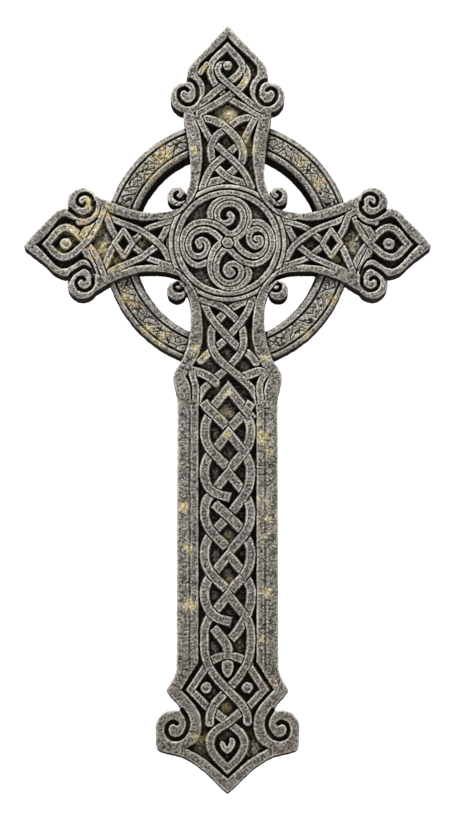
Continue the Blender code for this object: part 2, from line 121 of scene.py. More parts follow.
ARM_FLOOR = [
    (50, 214.6, C), (56, 217.6), (67.6, 219.6), (82.6, 221.2), (97.6, 219.2), (112.6, 214.6),
    (125.8, 208.4, C),
    (131, 220), (137, 231), (141.5, 239, C), (143, 225.5, C), (148.4, 222, C), (156.4, 219),
    (162.6, 217.2), (167.4, 219), (172.4, 225), (178.4, 233), (185, 240), (191.4, 245.5, C),
    (184.4, 252), (177.4, 260), (171.4, 266), (165.4, 269.5), (159.4, 269), (152.4, 265), (145, 262, C),
    (141, 250, C), (137, 257), (131, 267), (125.8, 278.6, C), (117.6, 274), (102.6, 269.2), (87.6, 266.4),
    (72.6, 265.8), (62.6, 267.6), (50, 273, C),
]

# Strands: name, width in steps, then places with a third number where the strand isn't on top.
TOP_KNOT = [
    ("over_band", 7.6, [(199, 118.6), (211, 120.3), (220, 124.3), (228, 130), (234.5, 136.5),
                        (239, 142.5), (242.2, 150), (243, 157, .8), (240.5, 163.5, 0), (235, 169.5, .6),
                        (229, 175, .1), (221, 180.5, .7), (212, 183), (203, 187)]),
    ("loop_band", 7.0, [(256.5, 118.6), (247, 118.6), (239, 120.8), (233, 125, .8), (228, 130, 0),
                        (221.5, 132.5, .7), (215.5, 138), (211.8, 146), (211.3, 153), (212.5, 160, .6),
                        (215.5, 166, 0), (218.8, 170, .8), (224, 175), (231, 179.5), (240, 182.7),
                        (251.5, 187)]),
    ("left_leg", 6.4, [(199.5, 119.5), (203, 127), (206.5, 133.5), (210.5, 140, .5), (213.5, 143, 0),
                       (218.3, 147.5, .8), (224, 153), (232, 160), (240, 168), (246, 176.5), (251.5, 188)]),
    ("right_leg", 6.6, [(254.8, 119.5), (252, 125), (249, 131), (245.5, 139, .6), (241, 144, 0),
                        (234.5, 148.8, .7), (227, 155, 0), (220, 160.5, .8), (213, 167.2), (207, 177),
                        (202, 189)]),
]
FINIAL_KNOT = [
    ("teardrop_left", 6.2, [(233, 41.6), (227.3, 47.4), (219.4, 54.8), (212.8, 62), (210.4, 70),
                            (211.8, 78), (215.6, 85), (219.6, 90.6, .8), (226, 96.6, 0), (233.4, 101.6, .9),
                            (244, 107.6), (258, 115)]),
    ("teardrop_right", 6.8, [(221.6, 41.6), (227.3, 47.4), (234, 54.4), (240, 61.6), (242.3, 68),
                             (239.4, 74), (233, 79.6, .8), (227.4, 83.6, 0), (221.6, 87.4, .6),
                             (214.2, 93.4), (207.4, 99.6), (200, 105.4), (191, 111.2)]),
    ("inner_strap", 5.8, [(224.6, 64.6, .9), (220.8, 64.8), (218, 68), (218.2, 73), (221.6, 78.4),
                          (226.4, 83), (232.6, 88.2), (240, 94.8), (248, 101.6), (257.6, 108.6), (265, 112)]),
    ("lichened_strap", 7.2, [(243.6, 67, .3), (246.6, 71.6, .5), (247, 78, .8), (243.6, 84.6),
                             (239, 89.6, .6), (234.4, 92.6, 0), (229, 96.4, .8), (222, 101),
                             (212, 107), (199.6, 113.8)]),
    ("lichened_sliver", 4.6, [(200.4, 73, .6), (203.4, 68.6, .7), (207, 64.6, .6)]),
]
NECK_KNOT = [
    ("neck_over", 7.2, [(203.6, 301), (206, 308), (209.5, 315.5), (215.5, 324), (223, 332.6), (231, 341),
                        (238, 348, .7), (243.5, 351.5, 0), (249.5, 355.5, .8), (256, 363.5)]),
    ("neck_loop_right", 7.0, [(203, 300.8), (212, 303.6), (219, 306.2), (225.5, 310.2), (231, 315),
                              (236, 320, .7), (240, 324.5, 0), (242.3, 330.5, .8), (243.7, 339),
                              (243, 348), (239, 356), (233, 363.2, .7), (228.3, 368.5, 0),
                              (222, 373.8, .8), (214, 380.5, 0), (206.5, 387), (201, 394), (197, 404)]),
    ("neck_loop_left", 7.4, [(253, 300.6), (242, 303.4), (234.5, 307.4, .8), (227.5, 311.5, 0),
                             (221, 318, .7), (215.3, 325, 0), (212, 331, .7), (211.3, 338.5), (212, 346),
                             (214.6, 353.5), (219, 360), (226, 366.6), (234, 373.2), (242, 380),
                             (249, 386.6), (254.5, 394), (258.3, 403), (260.6, 414)]),
    ("neck_right", 7.0, [(252, 301), (249.6, 308), (246, 315), (241, 322.6), (235.5, 329.5, .7),
                         (229.5, 336.5, 0), (222.5, 343.2, .7), (217.5, 347.5, .4), (213, 351, 0),
                         (207, 355.6, .8), (201, 361.5)]),
    ("shoulder_left", 8.4, [(192.5, 371.5), (200, 373.4), (208, 377), (215.5, 383)]),
    ("shoulder_right", 8.6, [(265, 374.5), (259, 372), (251, 375), (243.5, 377.6, .4)]),
    ("shoulder_leg_left", 6.6, [(192.6, 376), (194.4, 382), (196, 390), (195.6, 404)]),
    ("shoulder_leg_right", 6.6, [(263.6, 377), (260.6, 383), (259.6, 391), (261, 404)]),
]
# Strands that meet in a point, each cut off on a line: across or down, its place, and the side kept.
# The last two numbers say between which places down it holds or, for a cut across, how far out.
MITRES = {
    "teardrop_left": ("across", 227.4, -1, 0, 60), "teardrop_right": ("across", 227.4, 1, 0, 60),
    "foot_tear_left": ("across", 227.6, -1, 745, 900), "foot_tear_right": ("across", 227.6, 1, 745, 900),
    "almond_low": ("down", 244.9, 1, 176, 300), "almond_high": ("down", 244.9, -1, 176, 300),
    "left_side_up": ("down", 689.2, -1, 0, 300), "left_side_down": ("down", 689.2, 1, 0, 300),
    "right_side_up": ("down", 689.2, -1, 0, 300), "right_side_down": ("down", 689.2, 1, 0, 300),
}
CHEVRON_LEAN = 0.80           # steps sideways for one step down
# The chevrons of the shaft: apex, and how far down its left and right legs reach.
CHEVRONS = [(228.4, 389, 20, 31), (228.6, 433.6, 17, 19), (228.6, 473.6, 18, 20), (228.8, 555, 17, 19),
            (228.4, 595, 17, 22)]
SHAFT_KNOT = [
    ("strap_0_left", 9.4, [(203.6, 402.5), (207, 407.5), (213, 413.6), (220, 420.6), (226.5, 427, .8)]),
    ("strap_0_right", 9.0, [(251.6, 403, .8), (248, 409, .7), (242.5, 415.5, 0), (236, 423, .7),
                            (230, 429, .5)]),
    ("arc_1_left", 9.0, [(209.5, 416, .1), (207.6, 420, .8), (205.6, 426), (205, 434), (206.4, 442),
                         (210.6, 450), (216.8, 457), (223.5, 463.8), (226.5, 467, .8)]),
    ("arc_1_right", 9.0, [(246, 416, .1), (248.5, 421, .8), (250.6, 427), (250.8, 435), (249.6, 442, .7),
                          (246.6, 448.5, 0), (241.5, 456, .7), (234.5, 464.5), (231, 469, .7)]),
    ("arc_2_left", 9.0, [(210, 455.5, .1), (207.6, 460, .8), (205.2, 466), (204.6, 473), (205.4, 480),
                         (208, 486.6), (213, 491.8), (220, 495.4), (230, 498)]),
    ("arc_2_right", 9.0, [(245.5, 456, .1), (248, 461, .8), (250.4, 467), (250.8, 474.5), (250, 482),
                          (247.6, 489.6), (243.6, 496.8), (238.4, 504, .8), (232, 512, .2)]),
    ("strap_3", 9.6, [(214.6, 504.2), (222, 510.8), (230.5, 518.6), (239, 527, .8), (243.5, 531, .2)]),
    ("stub_3", 8.6, [(226, 520, .1), (222.5, 523, .6), (216.5, 529.6, .4)]),
    ("arc_3_left", 9.0, [(211, 496, .4), (207.6, 500), (205.4, 506), (204.8, 513), (205.6, 520),
                         (208.8, 528), (214.5, 535.6), (221.5, 542.4), (226.6, 547.6, .8)]),
    ("arc_3_right", 9.0, [(246.5, 498, .1), (248.8, 503.6, .8), (250.6, 510), (250.6, 517), (249.4, 524.6),
                          (245.6, 532.4), (240.6, 539.6), (233.6, 547.6), (231, 551, .8)]),
    ("arc_4_left", 9.0, [(210, 536.6, .1), (207.6, 541.4, .8), (205.2, 548), (204.8, 556), (206, 564),
                         (210.4, 572.4), (217.4, 580.4), (224.4, 587), (226.6, 589.4, .8)]),
    ("arc_4_right", 9.0, [(245.8, 537, .1), (248.6, 543, .8), (250.6, 550), (250.8, 557.6), (249.4, 565.4),
                          (245.8, 573), (240.4, 580), (234, 587), (231, 590.6, .8)]),
    ("arc_5_left", 9.0, [(210, 577.4, .1), (207.4, 582.4, .8), (205, 589), (204.8, 596), (206, 603),
                         (209.2, 609.6), (214, 615), (221, 619.2), (230.8, 621.8)]),
    ("arc_5_right", 9.0, [(245.5, 577.4, .1), (248.4, 582.6, .8), (251, 589.6), (251.2, 597),
                          (250.2, 604.4, .8), (248, 611.6, 0), (245, 618.4, .8), (241, 626),
                          (236.4, 632.8), (231, 638.6, .3)]),
    ("strap_6", 9.4, [(213.6, 628), (219, 634.2), (224, 640.6), (227.4, 646.6), (228.2, 654),
                      (228.2, 664)]),
]
FOOT_KNOT = [
    ("foot_over", 8.2, [(210, 616.6, .1), (207.4, 622, .8), (205, 629), (204.6, 638), (204.6, 648),
                        (206.2, 658), (210.2, 668), (216, 676.6), (223.4, 685), (231.4, 693),
                        (239, 700.6), (244.4, 708), (247.2, 715), (247.6, 720.6)]),
    ("foot_under", 8.2, [(246, 617, .1), (249, 623, .8), (250.8, 630), (251.2, 639), (250.6, 649),
                         (248.8, 658), (245, 667), (239.2, 676), (233.6, 682.6, .7), (228, 689, 0),
                         (222, 695.6, .7), (216, 702), (212.2, 709), (210.2, 716), (210, 721.6)]),
    ("arch", 8.0, [(207, 663, 0), (212.6, 659.8, .5), (219, 657, .7), (228, 655.8, .5), (237, 657, .7),
                   (243.6, 659.8, .5), (249, 663, 0)]),
    ("left_side_up", 7.4, [(208.4, 662.5, 0), (204.8, 668.5, .6), (197.8, 679), (191, 689.2), (184, 699.6)]),
    ("left_side_down", 7.4, [(183.6, 681.6), (191, 689.2), (198, 696.4), (205.6, 704.4, .6),
                             (211, 709.6, 0)]),
    ("right_side_up", 7.4, [(247, 662.5, 0), (250.6, 668.5, .6), (257.6, 679), (264.4, 689.2),
                            (271.4, 699.6)]),
    ("right_side_down", 7.4, [(271.8, 681.6), (264.4, 689.2), (257.4, 696.4), (249.8, 704.4, .6),
                              (244.4, 709.6, 0)]),
    ("foot_tear_left", 8.0, [(243, 709.4, 0), (238, 713.6, .8), (228.6, 721.4), (219.6, 727.2),
                             (213.4, 732.6), (210.6, 739), (211, 746.6), (214.6, 754), (220.6, 761),
                             (227.6, 767.6), (234.6, 774.4)]),
    ("foot_tear_right", 8.0, [(214.6, 710.4, .1), (219.4, 715, .7), (224, 718.8, .6), (229.5, 722.8, 0),
                              (235, 727, .8), (241, 732.8), (244.4, 740), (244, 747), (240.6, 754),
                              (234.6, 761), (227.6, 767.6), (220.6, 774.4)]),
]
# The left arm's knot. The right arm's is its mirror image.
LEFT_ARM_KNOT = [
    ("arm_over", 6.0, [(101.5, 213), (110, 218.4), (120, 223), (130, 226.6), (138, 230), (145, 233.8),
                       (151.5, 238.4), (157.5, 243.2), (162.6, 248.4), (166.6, 255), (169.6, 262.6),
                       (172, 268.6)]),
    ("arm_rise", 6.2, [(101.5, 277.4), (113, 271.4), (124, 266.4), (134, 262), (141.6, 258.6),
                       (147, 254.6), (152, 250.6, .8), (158.4, 245, 0), (162, 239, .8), (165.4, 232.4),
                       (168, 226.6), (172.4, 221)]),
    ("arm_corner_up", 5.4, [(172, 222), (160, 225), (151, 228, .8), (145, 231.6, 0), (138.6, 237, .7),
                            (133.6, 241.4, 0)]),
    ("arm_corner_down", 5.4, [(171.6, 266.8), (161, 263.6), (152, 260.6, .7), (145, 256.6, 0),
                              (139, 251.6, .7), (134, 247.6, .2)]),
    ("arm_strap_up", 6.4, [(106.6, 215.5, .8), (109.4, 223), (112.6, 231), (116.6, 238, .3)]),
    ("arm_strap_down", 6.4, [(116, 246, .2), (112.4, 250, .7), (109.4, 257), (106, 265), (103, 272)]),
]
ARM_RHOMBUS = (5.0, [(124.2, 231), (132.8, 244.4), (124.4, 257), (115, 244)])
# Small shapes with a flat top: the pendant under the arch, and the heart in the foot.
PENDANT = [(222.6, 661), (232.8, 661), (232.8, 671), (227.7, 677.6), (222.6, 671)]
HEART = [(227.4, 752.6), (222.4, 749), (220, 743.8), (221.6, 739.4), (225, 741.8), (227, 745.6),
         (229.4, 741.4), (230.2, 736.4), (234.6, 738.2), (235.2, 743.8), (232.2, 749.2)]
# The almond and the bands at the end of the right arm. The left end is their mirror image.
RIGHT_END_KNOT = [
    ("almond_low", 6.8, [(350.2, 207), (353.2, 216), (357.6, 225.4), (363, 235.4), (369, 243.2),
                         (376, 250), (383, 255.6), (391, 258.2), (397.8, 255.6), (402.8, 250.6),
                         (407.6, 245), (413.2, 238.4)]),
    ("almond_high", 6.8, [(350, 280), (353.4, 269.6), (358, 259.4), (363.4, 250.4, .8), (368.2, 244.8, 0),
                          (372.8, 239.4, .8), (378.4, 233.2), (384.6, 229), (391, 228.6), (397.6, 232.8),
                          (402.6, 239.2), (407.6, 245), (413.2, 251.6)]),
    ("ribbed_band", 7.0, [(362, 221.4), (365.6, 227), (369.6, 233), (373, 238.6, .4)]),
    ("low_band", 6.4, [(357.4, 278), (361, 268.6), (365, 260), (369, 252.6)]),
]
RIGHT_END_TAILS = [
    ("tail_up", 6.6, [(357.4, 205), (358.6, 212), (363, 218.4), (369, 221.6), (374.8, 223)]),
    ("tail_down", 6.4, [(358, 280), (361.6, 271.6), (367, 265.6), (372, 264), (376.6, 266.6)]),
]
# The medallion's four lobes, each a strand or two that wind up to its middle.
LOBES = [
    ("top_outer", [(210.8, 219.4), (210.6, 212), (214.6, 204.8), (221, 200.9), (228.4, 199.9),
                   (236.4, 201.4), (243.6, 206), (248, 213), (249, 221), (246.8, 229), (241.4, 235.4),
                   (235.6, 240.4), (237.6, 246.4), (243, 252.6), (249.6, 256.4), (256.4, 257),
                   (263.4, 253.4), (267.6, 246), (267.6, 238), (263.4, 231.6), (256.6, 229.8),
                   (251, 232.8), (249, 239), (251, 245), (256, 247.8), (260.6, 244.8), (260.2, 239.6),
                   (256.6, 239.6)]),
    ("top_inner", [(228, 235.4), (235.4, 233.4), (241.2, 227.4), (243.6, 219.4), (241.8, 211.4),
                   (236.4, 206), (228.6, 204.8), (221.4, 207.4), (217.4, 213.4), (218.2, 220.4),
                   (223.4, 224.2), (229.4, 223), (232, 218.6), (230, 215.6)]),
    ("left_outer", [(227.6, 233.8), (221, 228.4), (213, 224.4), (204, 223), (195, 224.6), (187.6, 230.2),
                    (183.6, 239), (183.6, 249), (187, 258.6), (193.4, 265), (200, 266.2), (206.2, 263.8)]),
    ("left_inner", [(222, 241.6), (216, 235.4), (208.6, 231.2), (200.4, 231), (193, 235), (188.8, 242.6),
                    (189.6, 251), (194.4, 256.8), (201.2, 257), (206.6, 252.6), (207.6, 245.8),
                    (203.6, 241), (198.4, 242.6), (199.8, 246.8)]),
    ("bottom_outer", [(220.6, 243.8), (214, 251.4), (210.8, 261), (210.6, 271), (214.4, 280.4),
                      (221.8, 286.8), (231, 289), (240, 286.8), (247, 281), (249.4, 274.4),
                      (247.4, 270.6)]),
    ("bottom_inner", [(224.4, 250.8), (219, 257.4), (216.4, 266), (217.2, 275), (222.6, 282),
                      (230, 284.2), (237.4, 281.4), (241.4, 274.8), (240, 267.8), (234, 264.6),
                      (228, 266.8), (226, 272), (229.4, 276.2), (232.6, 273.6), (230.4, 271.4)]),
    ("right_outer", [(253.6, 223.2), (260, 223.4), (266.4, 227.8), (271, 235), (272.4, 244),
                     (270.4, 253), (264.6, 260.6), (255.6, 264.8), (246, 263.6), (238, 258.8),
                     (230.6, 251.6)]),
]
LOBE_WIDTH = 5.9

# Where the rims of neck and arm run into each other, over the medallion's outer band.
CORNER_BANDS = [
    ("corner_up", 9.0, [(161, 216.4, .3), (170, 214.4, .45), (179, 208.8, .8), (186.8, 200.8),
                        (192.2, 191.4, .8), (194.4, 182, .45), (194.8, 174, .3)]),
    ("corner_down", 9.0, [(161, 270.2, .3), (170, 272.2, .45), (179, 278, .8), (186.4, 285.8),
                          (192, 295, .8), (195.2, 305, .45), (196, 313, .3)]),
]

# Grooves on the right: width, and places. They wind into the scrolls, and part the scrolls' tails from
# the bands beside them. Each has its mirror image on the left.
SCROLL_GROOVES = [
    (3.6, [(268.4, 80), (262.4, 82), (258.6, 87), (257.2, 93.4), (258.4, 99.4), (262.4, 104), (267.4, 105.4),
           (273, 103), (276.4, 97.4), (275.6, 91.6), (270.8, 88.8), (267, 91)]),
    (3.2, [(362.6, 205.6), (362.4, 199.6), (366, 195.6), (371, 194.6), (375.8, 197.4), (377.4, 202),
           (375.4, 206), (371.6, 206.6), (370, 204)]),
    (3.6, [(360.4, 203.6), (360.6, 209.6), (364.6, 215.2), (371, 217.8), (378, 215.8), (385.4, 210.2)]),
    (3.2, [(361.8, 280.6), (362, 286.2), (366, 290.4), (371.8, 291.4), (376.8, 288.4), (378.2, 283.4),
           (376, 279.4), (372, 278.6), (370, 280.6)]),
    (3.6, [(361.4, 284), (361.8, 276.6), (365, 270.4), (370.6, 268), (376.4, 270.6), (383, 275.6),
           (387.4, 283)]),
    (4.0, [(272.6, 709), (268, 716.6), (266.6, 724), (268.6, 731), (273.6, 736.8), (280.6, 738.2),
           (286.4, 734.8), (288.2, 728.4), (286, 723.2), (281.4, 721), (277.8, 722.8)]),
    (1.7, [(357.4, 219.4), (362.4, 223.4), (367.6, 226), (374, 227)]),
    (1.7, [(359.6, 274), (362.4, 266.8), (366.6, 261), (372.6, 258.6)]),
    (3.0, [(269.6, 197), (271.4, 199.8), (275.4, 200.8), (279.4, 198.6), (280.2, 195), (277.6, 193)]),
    (3.0, [(272, 290), (274.4, 291.6), (277.8, 291.6), (280.4, 289.2), (280, 285.8), (276.6, 284.6)]),
]
# Buds: place across, place down, radius in steps.
BUDS = [(227.6, 66, 4.4), (388.6, 244.6, 5.4), (66.6, 244.6, 5.4), (206.4, 687, 5.2), (247.4, 687, 5.2)]


def to_points(places):
    """Places as arrays of across, down and level, with 1 where no level is given."""
    return np.array([(p[0], p[1], p[2] if len(p) > 2 else 1.0) for p in places])


def smooth_line(points, steps=6, closed=False):
    """A smooth line through every given point."""
    if closed:
        points = np.vstack([points[-1:], points, points[:2]])
    else:
        points = np.vstack([2 * points[:1] - points[1:2], points, 2 * points[-1:] - points[-2:-1]])
    t = (np.arange(steps) / steps)[:, None]
    pieces = []
    for before, start, end, after in zip(points, points[1:], points[2:], points[3:]):
        bend = 2 * before - 5 * start + 4 * end - after
        twist = 3 * start - before - 3 * end + after
        pieces.append(0.5 * (2 * start + (end - before) * t + bend * t ** 2 + twist * t ** 3))
    if not closed:
        pieces.append(points[-2:-1])
    return np.vstack(pieces)


def outline(half, mirror=True):
    """A closed outline in places on the sheet: smooth stretches between its corners."""
    corners = [i for i, point in enumerate(half) if len(point) > 2]
    flat = np.array([(p[0], p[1]) for p in half], float)
    line = []
    for start, end in zip(corners, corners[1:]):
        stretch = flat[start:end + 1]
        line.append(smooth_line(stretch, 5)[:-1] if len(stretch) > 2 else stretch[:1])
    line = np.vstack(line + [flat[corners[-1]:corners[-1] + 1]])
    if not mirror:
        return np.column_stack([AXIS + line[:, 0], line[:, 1]])
    right = np.column_stack([AXIS + line[:, 0], line[:, 1]])
    left = np.column_stack([AXIS - line[:, 0], line[:, 1]])[::-1]
    return np.vstack([right, left])


across_at = np.arange(SHEET_LEFT, SHEET_RIGHT, CELL)
down_at = np.arange(SHEET_TOP, SHEET_BOTTOM, CELL)
ACROSS, DOWN = np.meshgrid(across_at, down_at)


def window(low_across, high_across, low_down, high_down, margin):
    """The slice of the sheet's grid round a box."""
    j0 = max(int((low_across - margin - SHEET_LEFT) / CELL), 0)
    j1 = min(int((high_across + margin - SHEET_LEFT) / CELL) + 2, len(across_at))
    i0 = max(int((low_down - margin - SHEET_TOP) / CELL), 0)
    i1 = min(int((high_down + margin - SHEET_TOP) / CELL) + 2, len(down_at))
    return slice(i0, i1), slice(j0, j1)


def near_line(line, part):
    """For each point of a slice: distance to a line, length along it, distance past its ends."""
    across, down = ACROSS[part], DOWN[part]
    best = np.full(across.shape, 1e9)
    along = np.zeros(across.shape)
    beyond = np.zeros(across.shape)
    length = 0.0
    last = len(line) - 2
    for k, (a, b) in enumerate(zip(line, line[1:])):
        run = b[:2] - a[:2]
        size = math.hypot(*run)
        if size < 1e-6:
            continue
        share = ((across - a[0]) * run[0] + (down - a[1]) * run[1]) / size ** 2
        past = np.zeros(across.shape)
        if k == 0:
            past = np.maximum(-share * size, 0)
        if k == last:
            past = np.maximum(past, (share - 1) * size)
        clipped = np.clip(share, 0, 1)
        distance = np.hypot(across - a[0] - clipped * run[0], down - a[1] - clipped * run[1])
        closer = distance < best
        best = np.where(closer, distance, best)
        along = np.where(closer, length + clipped * size, along)
        beyond = np.where(closer, past, beyond)
        length += size
    return best, along, beyond


def inside_distance(line):
    """Distance in steps to a closed outline over the whole sheet, positive inside it."""
    field = np.full(ACROSS.shape, -60.0)
    part = window(line[:, 0].min(), line[:, 0].max(), line[:, 1].min(), line[:, 1].max(), 8)
    closed = np.vstack([line, line[:1]])
    across, down = ACROSS[part], DOWN[part]
    distance = np.full(across.shape, 60.0)
    inside = np.zeros(across.shape, bool)
    for a, b in zip(closed, closed[1:]):
        run = b - a
        size = run @ run
        if size < 1e-9:
            continue
        share = np.clip(((across - a[0]) * run[0] + (down - a[1]) * run[1]) / size, 0, 1)
        off_across = across - a[0] - share * run[0]
        off_down = down - a[1] - share * run[1]
        distance = np.minimum(distance, np.hypot(off_across, off_down))
        if a[1] != b[1]:
            crosses = (down > min(a[1], b[1])) & (down <= max(a[1], b[1]))
            inside ^= crosses & (across < a[0] + (down - a[1]) * run[0] / (b[1] - a[1]))
    field[part] = np.where(inside, distance, -distance)
    return field


def disc_distance(centre_across, centre_down, radius):
    """Distance in steps inside a disc's edge."""
    return radius - np.hypot(ACROSS - centre_across, DOWN - centre_down)


def mirrored(line):
    """The same line on the other side of the axis."""
    return np.column_stack([2 * AXIS - line[:, 0], line[:, 1:]])


def blur(field, steps):
    """A soft average over a distance in steps."""
    reach = max(int(round(steps / CELL)), 1)
    size = 2 * reach + 1
    for axis in (0, 1, 0, 1):
        padding = [(reach + 1, reach) if a == axis else (0, 0) for a in (0, 1)]
        total = np.cumsum(np.pad(field, padding, mode="edge"), axis=axis)
        ahead = np.take(total, range(size, total.shape[axis]), axis)
        field = (ahead - np.take(total, range(total.shape[axis] - size), axis)) / size
    return field


def ramp(x):
    """0 below 0, 1 above 1, and smooth between."""
    x = np.clip(x, 0, 1)
    return x * x * (3 - 2 * x)


def noise_at(right, down, seed):
    """Soft random values between -1 and 1, one patch to each unit of right and down."""
    values = np.random.default_rng(seed).uniform(-1, 1, (512, 512))
    c0, r0 = np.floor(right).astype(int), np.floor(down).astype(int)
    fc, fr = ramp(right - c0), ramp(down - r0)
    c0, r0 = c0 % 511, r0 % 511
    upper = values[r0, c0] * (1 - fc) + values[r0, c0 + 1] * fc
    lower = values[r0 + 1, c0] * (1 - fc) + values[r0 + 1, c0 + 1] * fc
    return upper * (1 - fr) + lower * fr


def grain(size, seed):
    """Soft random grain over the sheet, with patches of a size in steps."""
    return noise_at((ACROSS - SHEET_LEFT) / size, (DOWN - SHEET_TOP) / size, seed)


def winding_lines(size, width, seed):
    """Thin winding lines, as a point chisel leaves them."""
    return ramp(1 - np.abs(grain(size, seed)) / width)


def strand_section(distance, half, top):
    """Height across a strand: bead edges with a shallow dip between, then a steep wall."""
    edge = np.clip((distance - half + 0.9) / 0.9, 0, 1)
    drop = EDGE_ROUND * (1 - np.sqrt(1 - edge ** 2))
    dip = 0.6 * ramp(half - 1.3 - distance)
    return top - drop - dip - np.maximum(distance - half, 0) * WALL_SLOPE


class Carving:
    """The heights left by the cutting so far over the whole sheet, and what the finish needs to know."""

    def __init__(self):
        self.waves = grain(2.2, 11)
        self.tooling_and_shade = np.zeros(ACROSS.shape)

    def strand(self, strand, floor, rise=0.0, closed=False, flip=False, square=False, steps=6):
        """Work out one strand's section along its own line."""
        name, width, places = strand
        line = smooth_line(to_points(places), steps, closed)
        if closed:
            line = np.vstack([line, line[:1]])
        if flip:
            line = mirrored(line)
        part = window(line[:, 0].min(), line[:, 0].max(), line[:, 1].min(), line[:, 1].max(), width)
        distance, along, beyond = near_line(line, part)
        reach = np.concatenate([[0], np.cumsum(np.hypot(*np.diff(line[:, :2], axis=0).T))])
        level = np.interp(along, reach, line[:, 2])
        wander = 0.22 * self.waves[part]
        half = width / 2 + wander
        if square:
            distance = np.where(beyond > 0, np.maximum(distance, half + beyond), distance)
        if name in MITRES:
            axis, place, sign, low, high = MITRES[name]
            field = (ACROSS if axis == "across" else DOWN)[part]
            limit = (DOWN if axis == "across" else np.abs(ACROSS - AXIS))[part]
            cut_off = ((field - place) * sign < 0) & (limit > low) & (limit < high)
            distance = np.where(cut_off, 99.0, distance)
        ticks = ramp(1.6 * np.sin(along * 1.85 + 2.4 * self.waves[part]) - 0.5)
        section = strand_section(distance, half, STRAND_TOP + rise - UNDER_DIP * (1 - level))
        section -= TICK_DEPTH * ticks * (distance < half)
        return part, distance, beyond, level, half, section, floor[part], ticks

    def lay(self, strands, floor, rise=0.0, closed=False, flip=False, square=False, steps=6):
        """Cut all strands of a knot: first every body, then what passes over, with its dark lines."""
        cut = [self.strand(strand, floor, rise, closed, flip, square, steps) for strand in strands]
        for part, distance, beyond, level, half, section, sunk, ticks in cut:
            higher = (sunk > -1.5) & (section > self.height[part])
            self.height[part] = np.where(higher, section, self.height[part])
            self.tooling_and_shade[part] = np.where(higher, 0.75 * ticks, self.tooling_and_shade[part])
        for part, distance, beyond, level, half, section, sunk, ticks in cut:
            over = (level > 0.55) & (sunk > -1.0)
            beside = over & (distance > half) & (distance < half + GUTTER_WIDTH) & (beyond < 0.1)
            gutter = rise - GUTTER - 2.0 * self.waves[part]
            self.height[part] = np.where(beside, np.minimum(self.height[part], gutter), self.height[part])
            body = over & (distance <= half)
            self.height[part] = np.where(body, np.maximum(section, self.height[part]), self.height[part])
            self.tooling_and_shade[part] = np.where(body, 0.75 * ticks, self.tooling_and_shade[part])

    def groove(self, width, places, depth, flip=False):
        """Cut a groove along a line, rounded at its bottom and deepest in its middle."""
        line = smooth_line(to_points(places), 6)
        if flip:
            line = mirrored(line)
        part = window(line[:, 0].min(), line[:, 0].max(), line[:, 1].min(), line[:, 1].max(), width)
        distance, along, beyond = near_line(line, part)
        half = width / 2 + 0.25 * self.waves[part]
        cut = np.sqrt(np.clip(1 - (distance / (half + 0.35)) ** 2, 0, 1))
        shoulder = ramp(1 - (distance - half) / 2.2) ** 2
        self.height[part] -= depth * cut + 1.5 * shoulder

    def bud(self, across, down, radius, rise=0.5, through=-1.0):
        """Raise a round bud out of the floor, with a dark ring round it."""
        distance = np.hypot(ACROSS - across, DOWN - down)
        distance = distance + 0.5 * grain(2.6, 57)
        crown = STRAND_TOP + rise + 0.5 * grain(2.2, 58)
        dome = crown - BUD_DOME * (distance / radius) ** 2 - np.maximum(distance - radius, 0) * WALL_SLOPE
        ring = (distance > radius) & (distance < radius + 1.4) & (self.height < through)
        self.height = np.where(ring, np.minimum(self.height, -GUTTER - 1.5), self.height)
        self.height = np.where(distance < radius + 1.0, np.maximum(self.height, dome), self.height)


def cut_body(work):
    """The cross and its ring before any carving: heights of the rims, rounded at the outline."""
    upright = outline(UPRIGHT)
    arm = outline(ARM, mirror=False)
    solid = inside_distance(upright)
    for line in (arm, mirrored(arm)):
        solid = np.maximum(solid, inside_distance(line))
    for offset, down, radius in SCROLL_DISCS:
        for side in (-1, 1):
            solid = np.maximum(solid, disc_distance(AXIS + side * offset, down, radius))
    medallion = disc_distance(AXIS, MIDDLE, MEDALLION)
    solid = np.maximum(solid, medallion)
    solid = solid + 0.2 * grain(3.2, 5) + 0.12 * grain(1.4, 6) - 0.1
    radius = np.hypot(ACROSS - AXIS, DOWN - MIDDLE)
    ring = np.minimum(RING_OUTER - radius, radius - RING_INNER) + 0.3 * grain(4.0, 7)
    work.solid = solid
    work.ring = ring
    work.whole = np.maximum(solid, ring)
    work.radius = radius
    work.turn = np.arctan2(DOWN - MIDDLE, ACROSS - AXIS)
    work.medallion = medallion
    edge = np.clip(1 - solid * STEP / OUTER_ROUND, 0, 1)
    rim = -OUTER_FALL * OUTER_ROUND * (1 - np.sqrt(1 - edge ** 2))
    work.height = rim - np.clip(-solid, 0, 1.6) * WALL_SLOPE


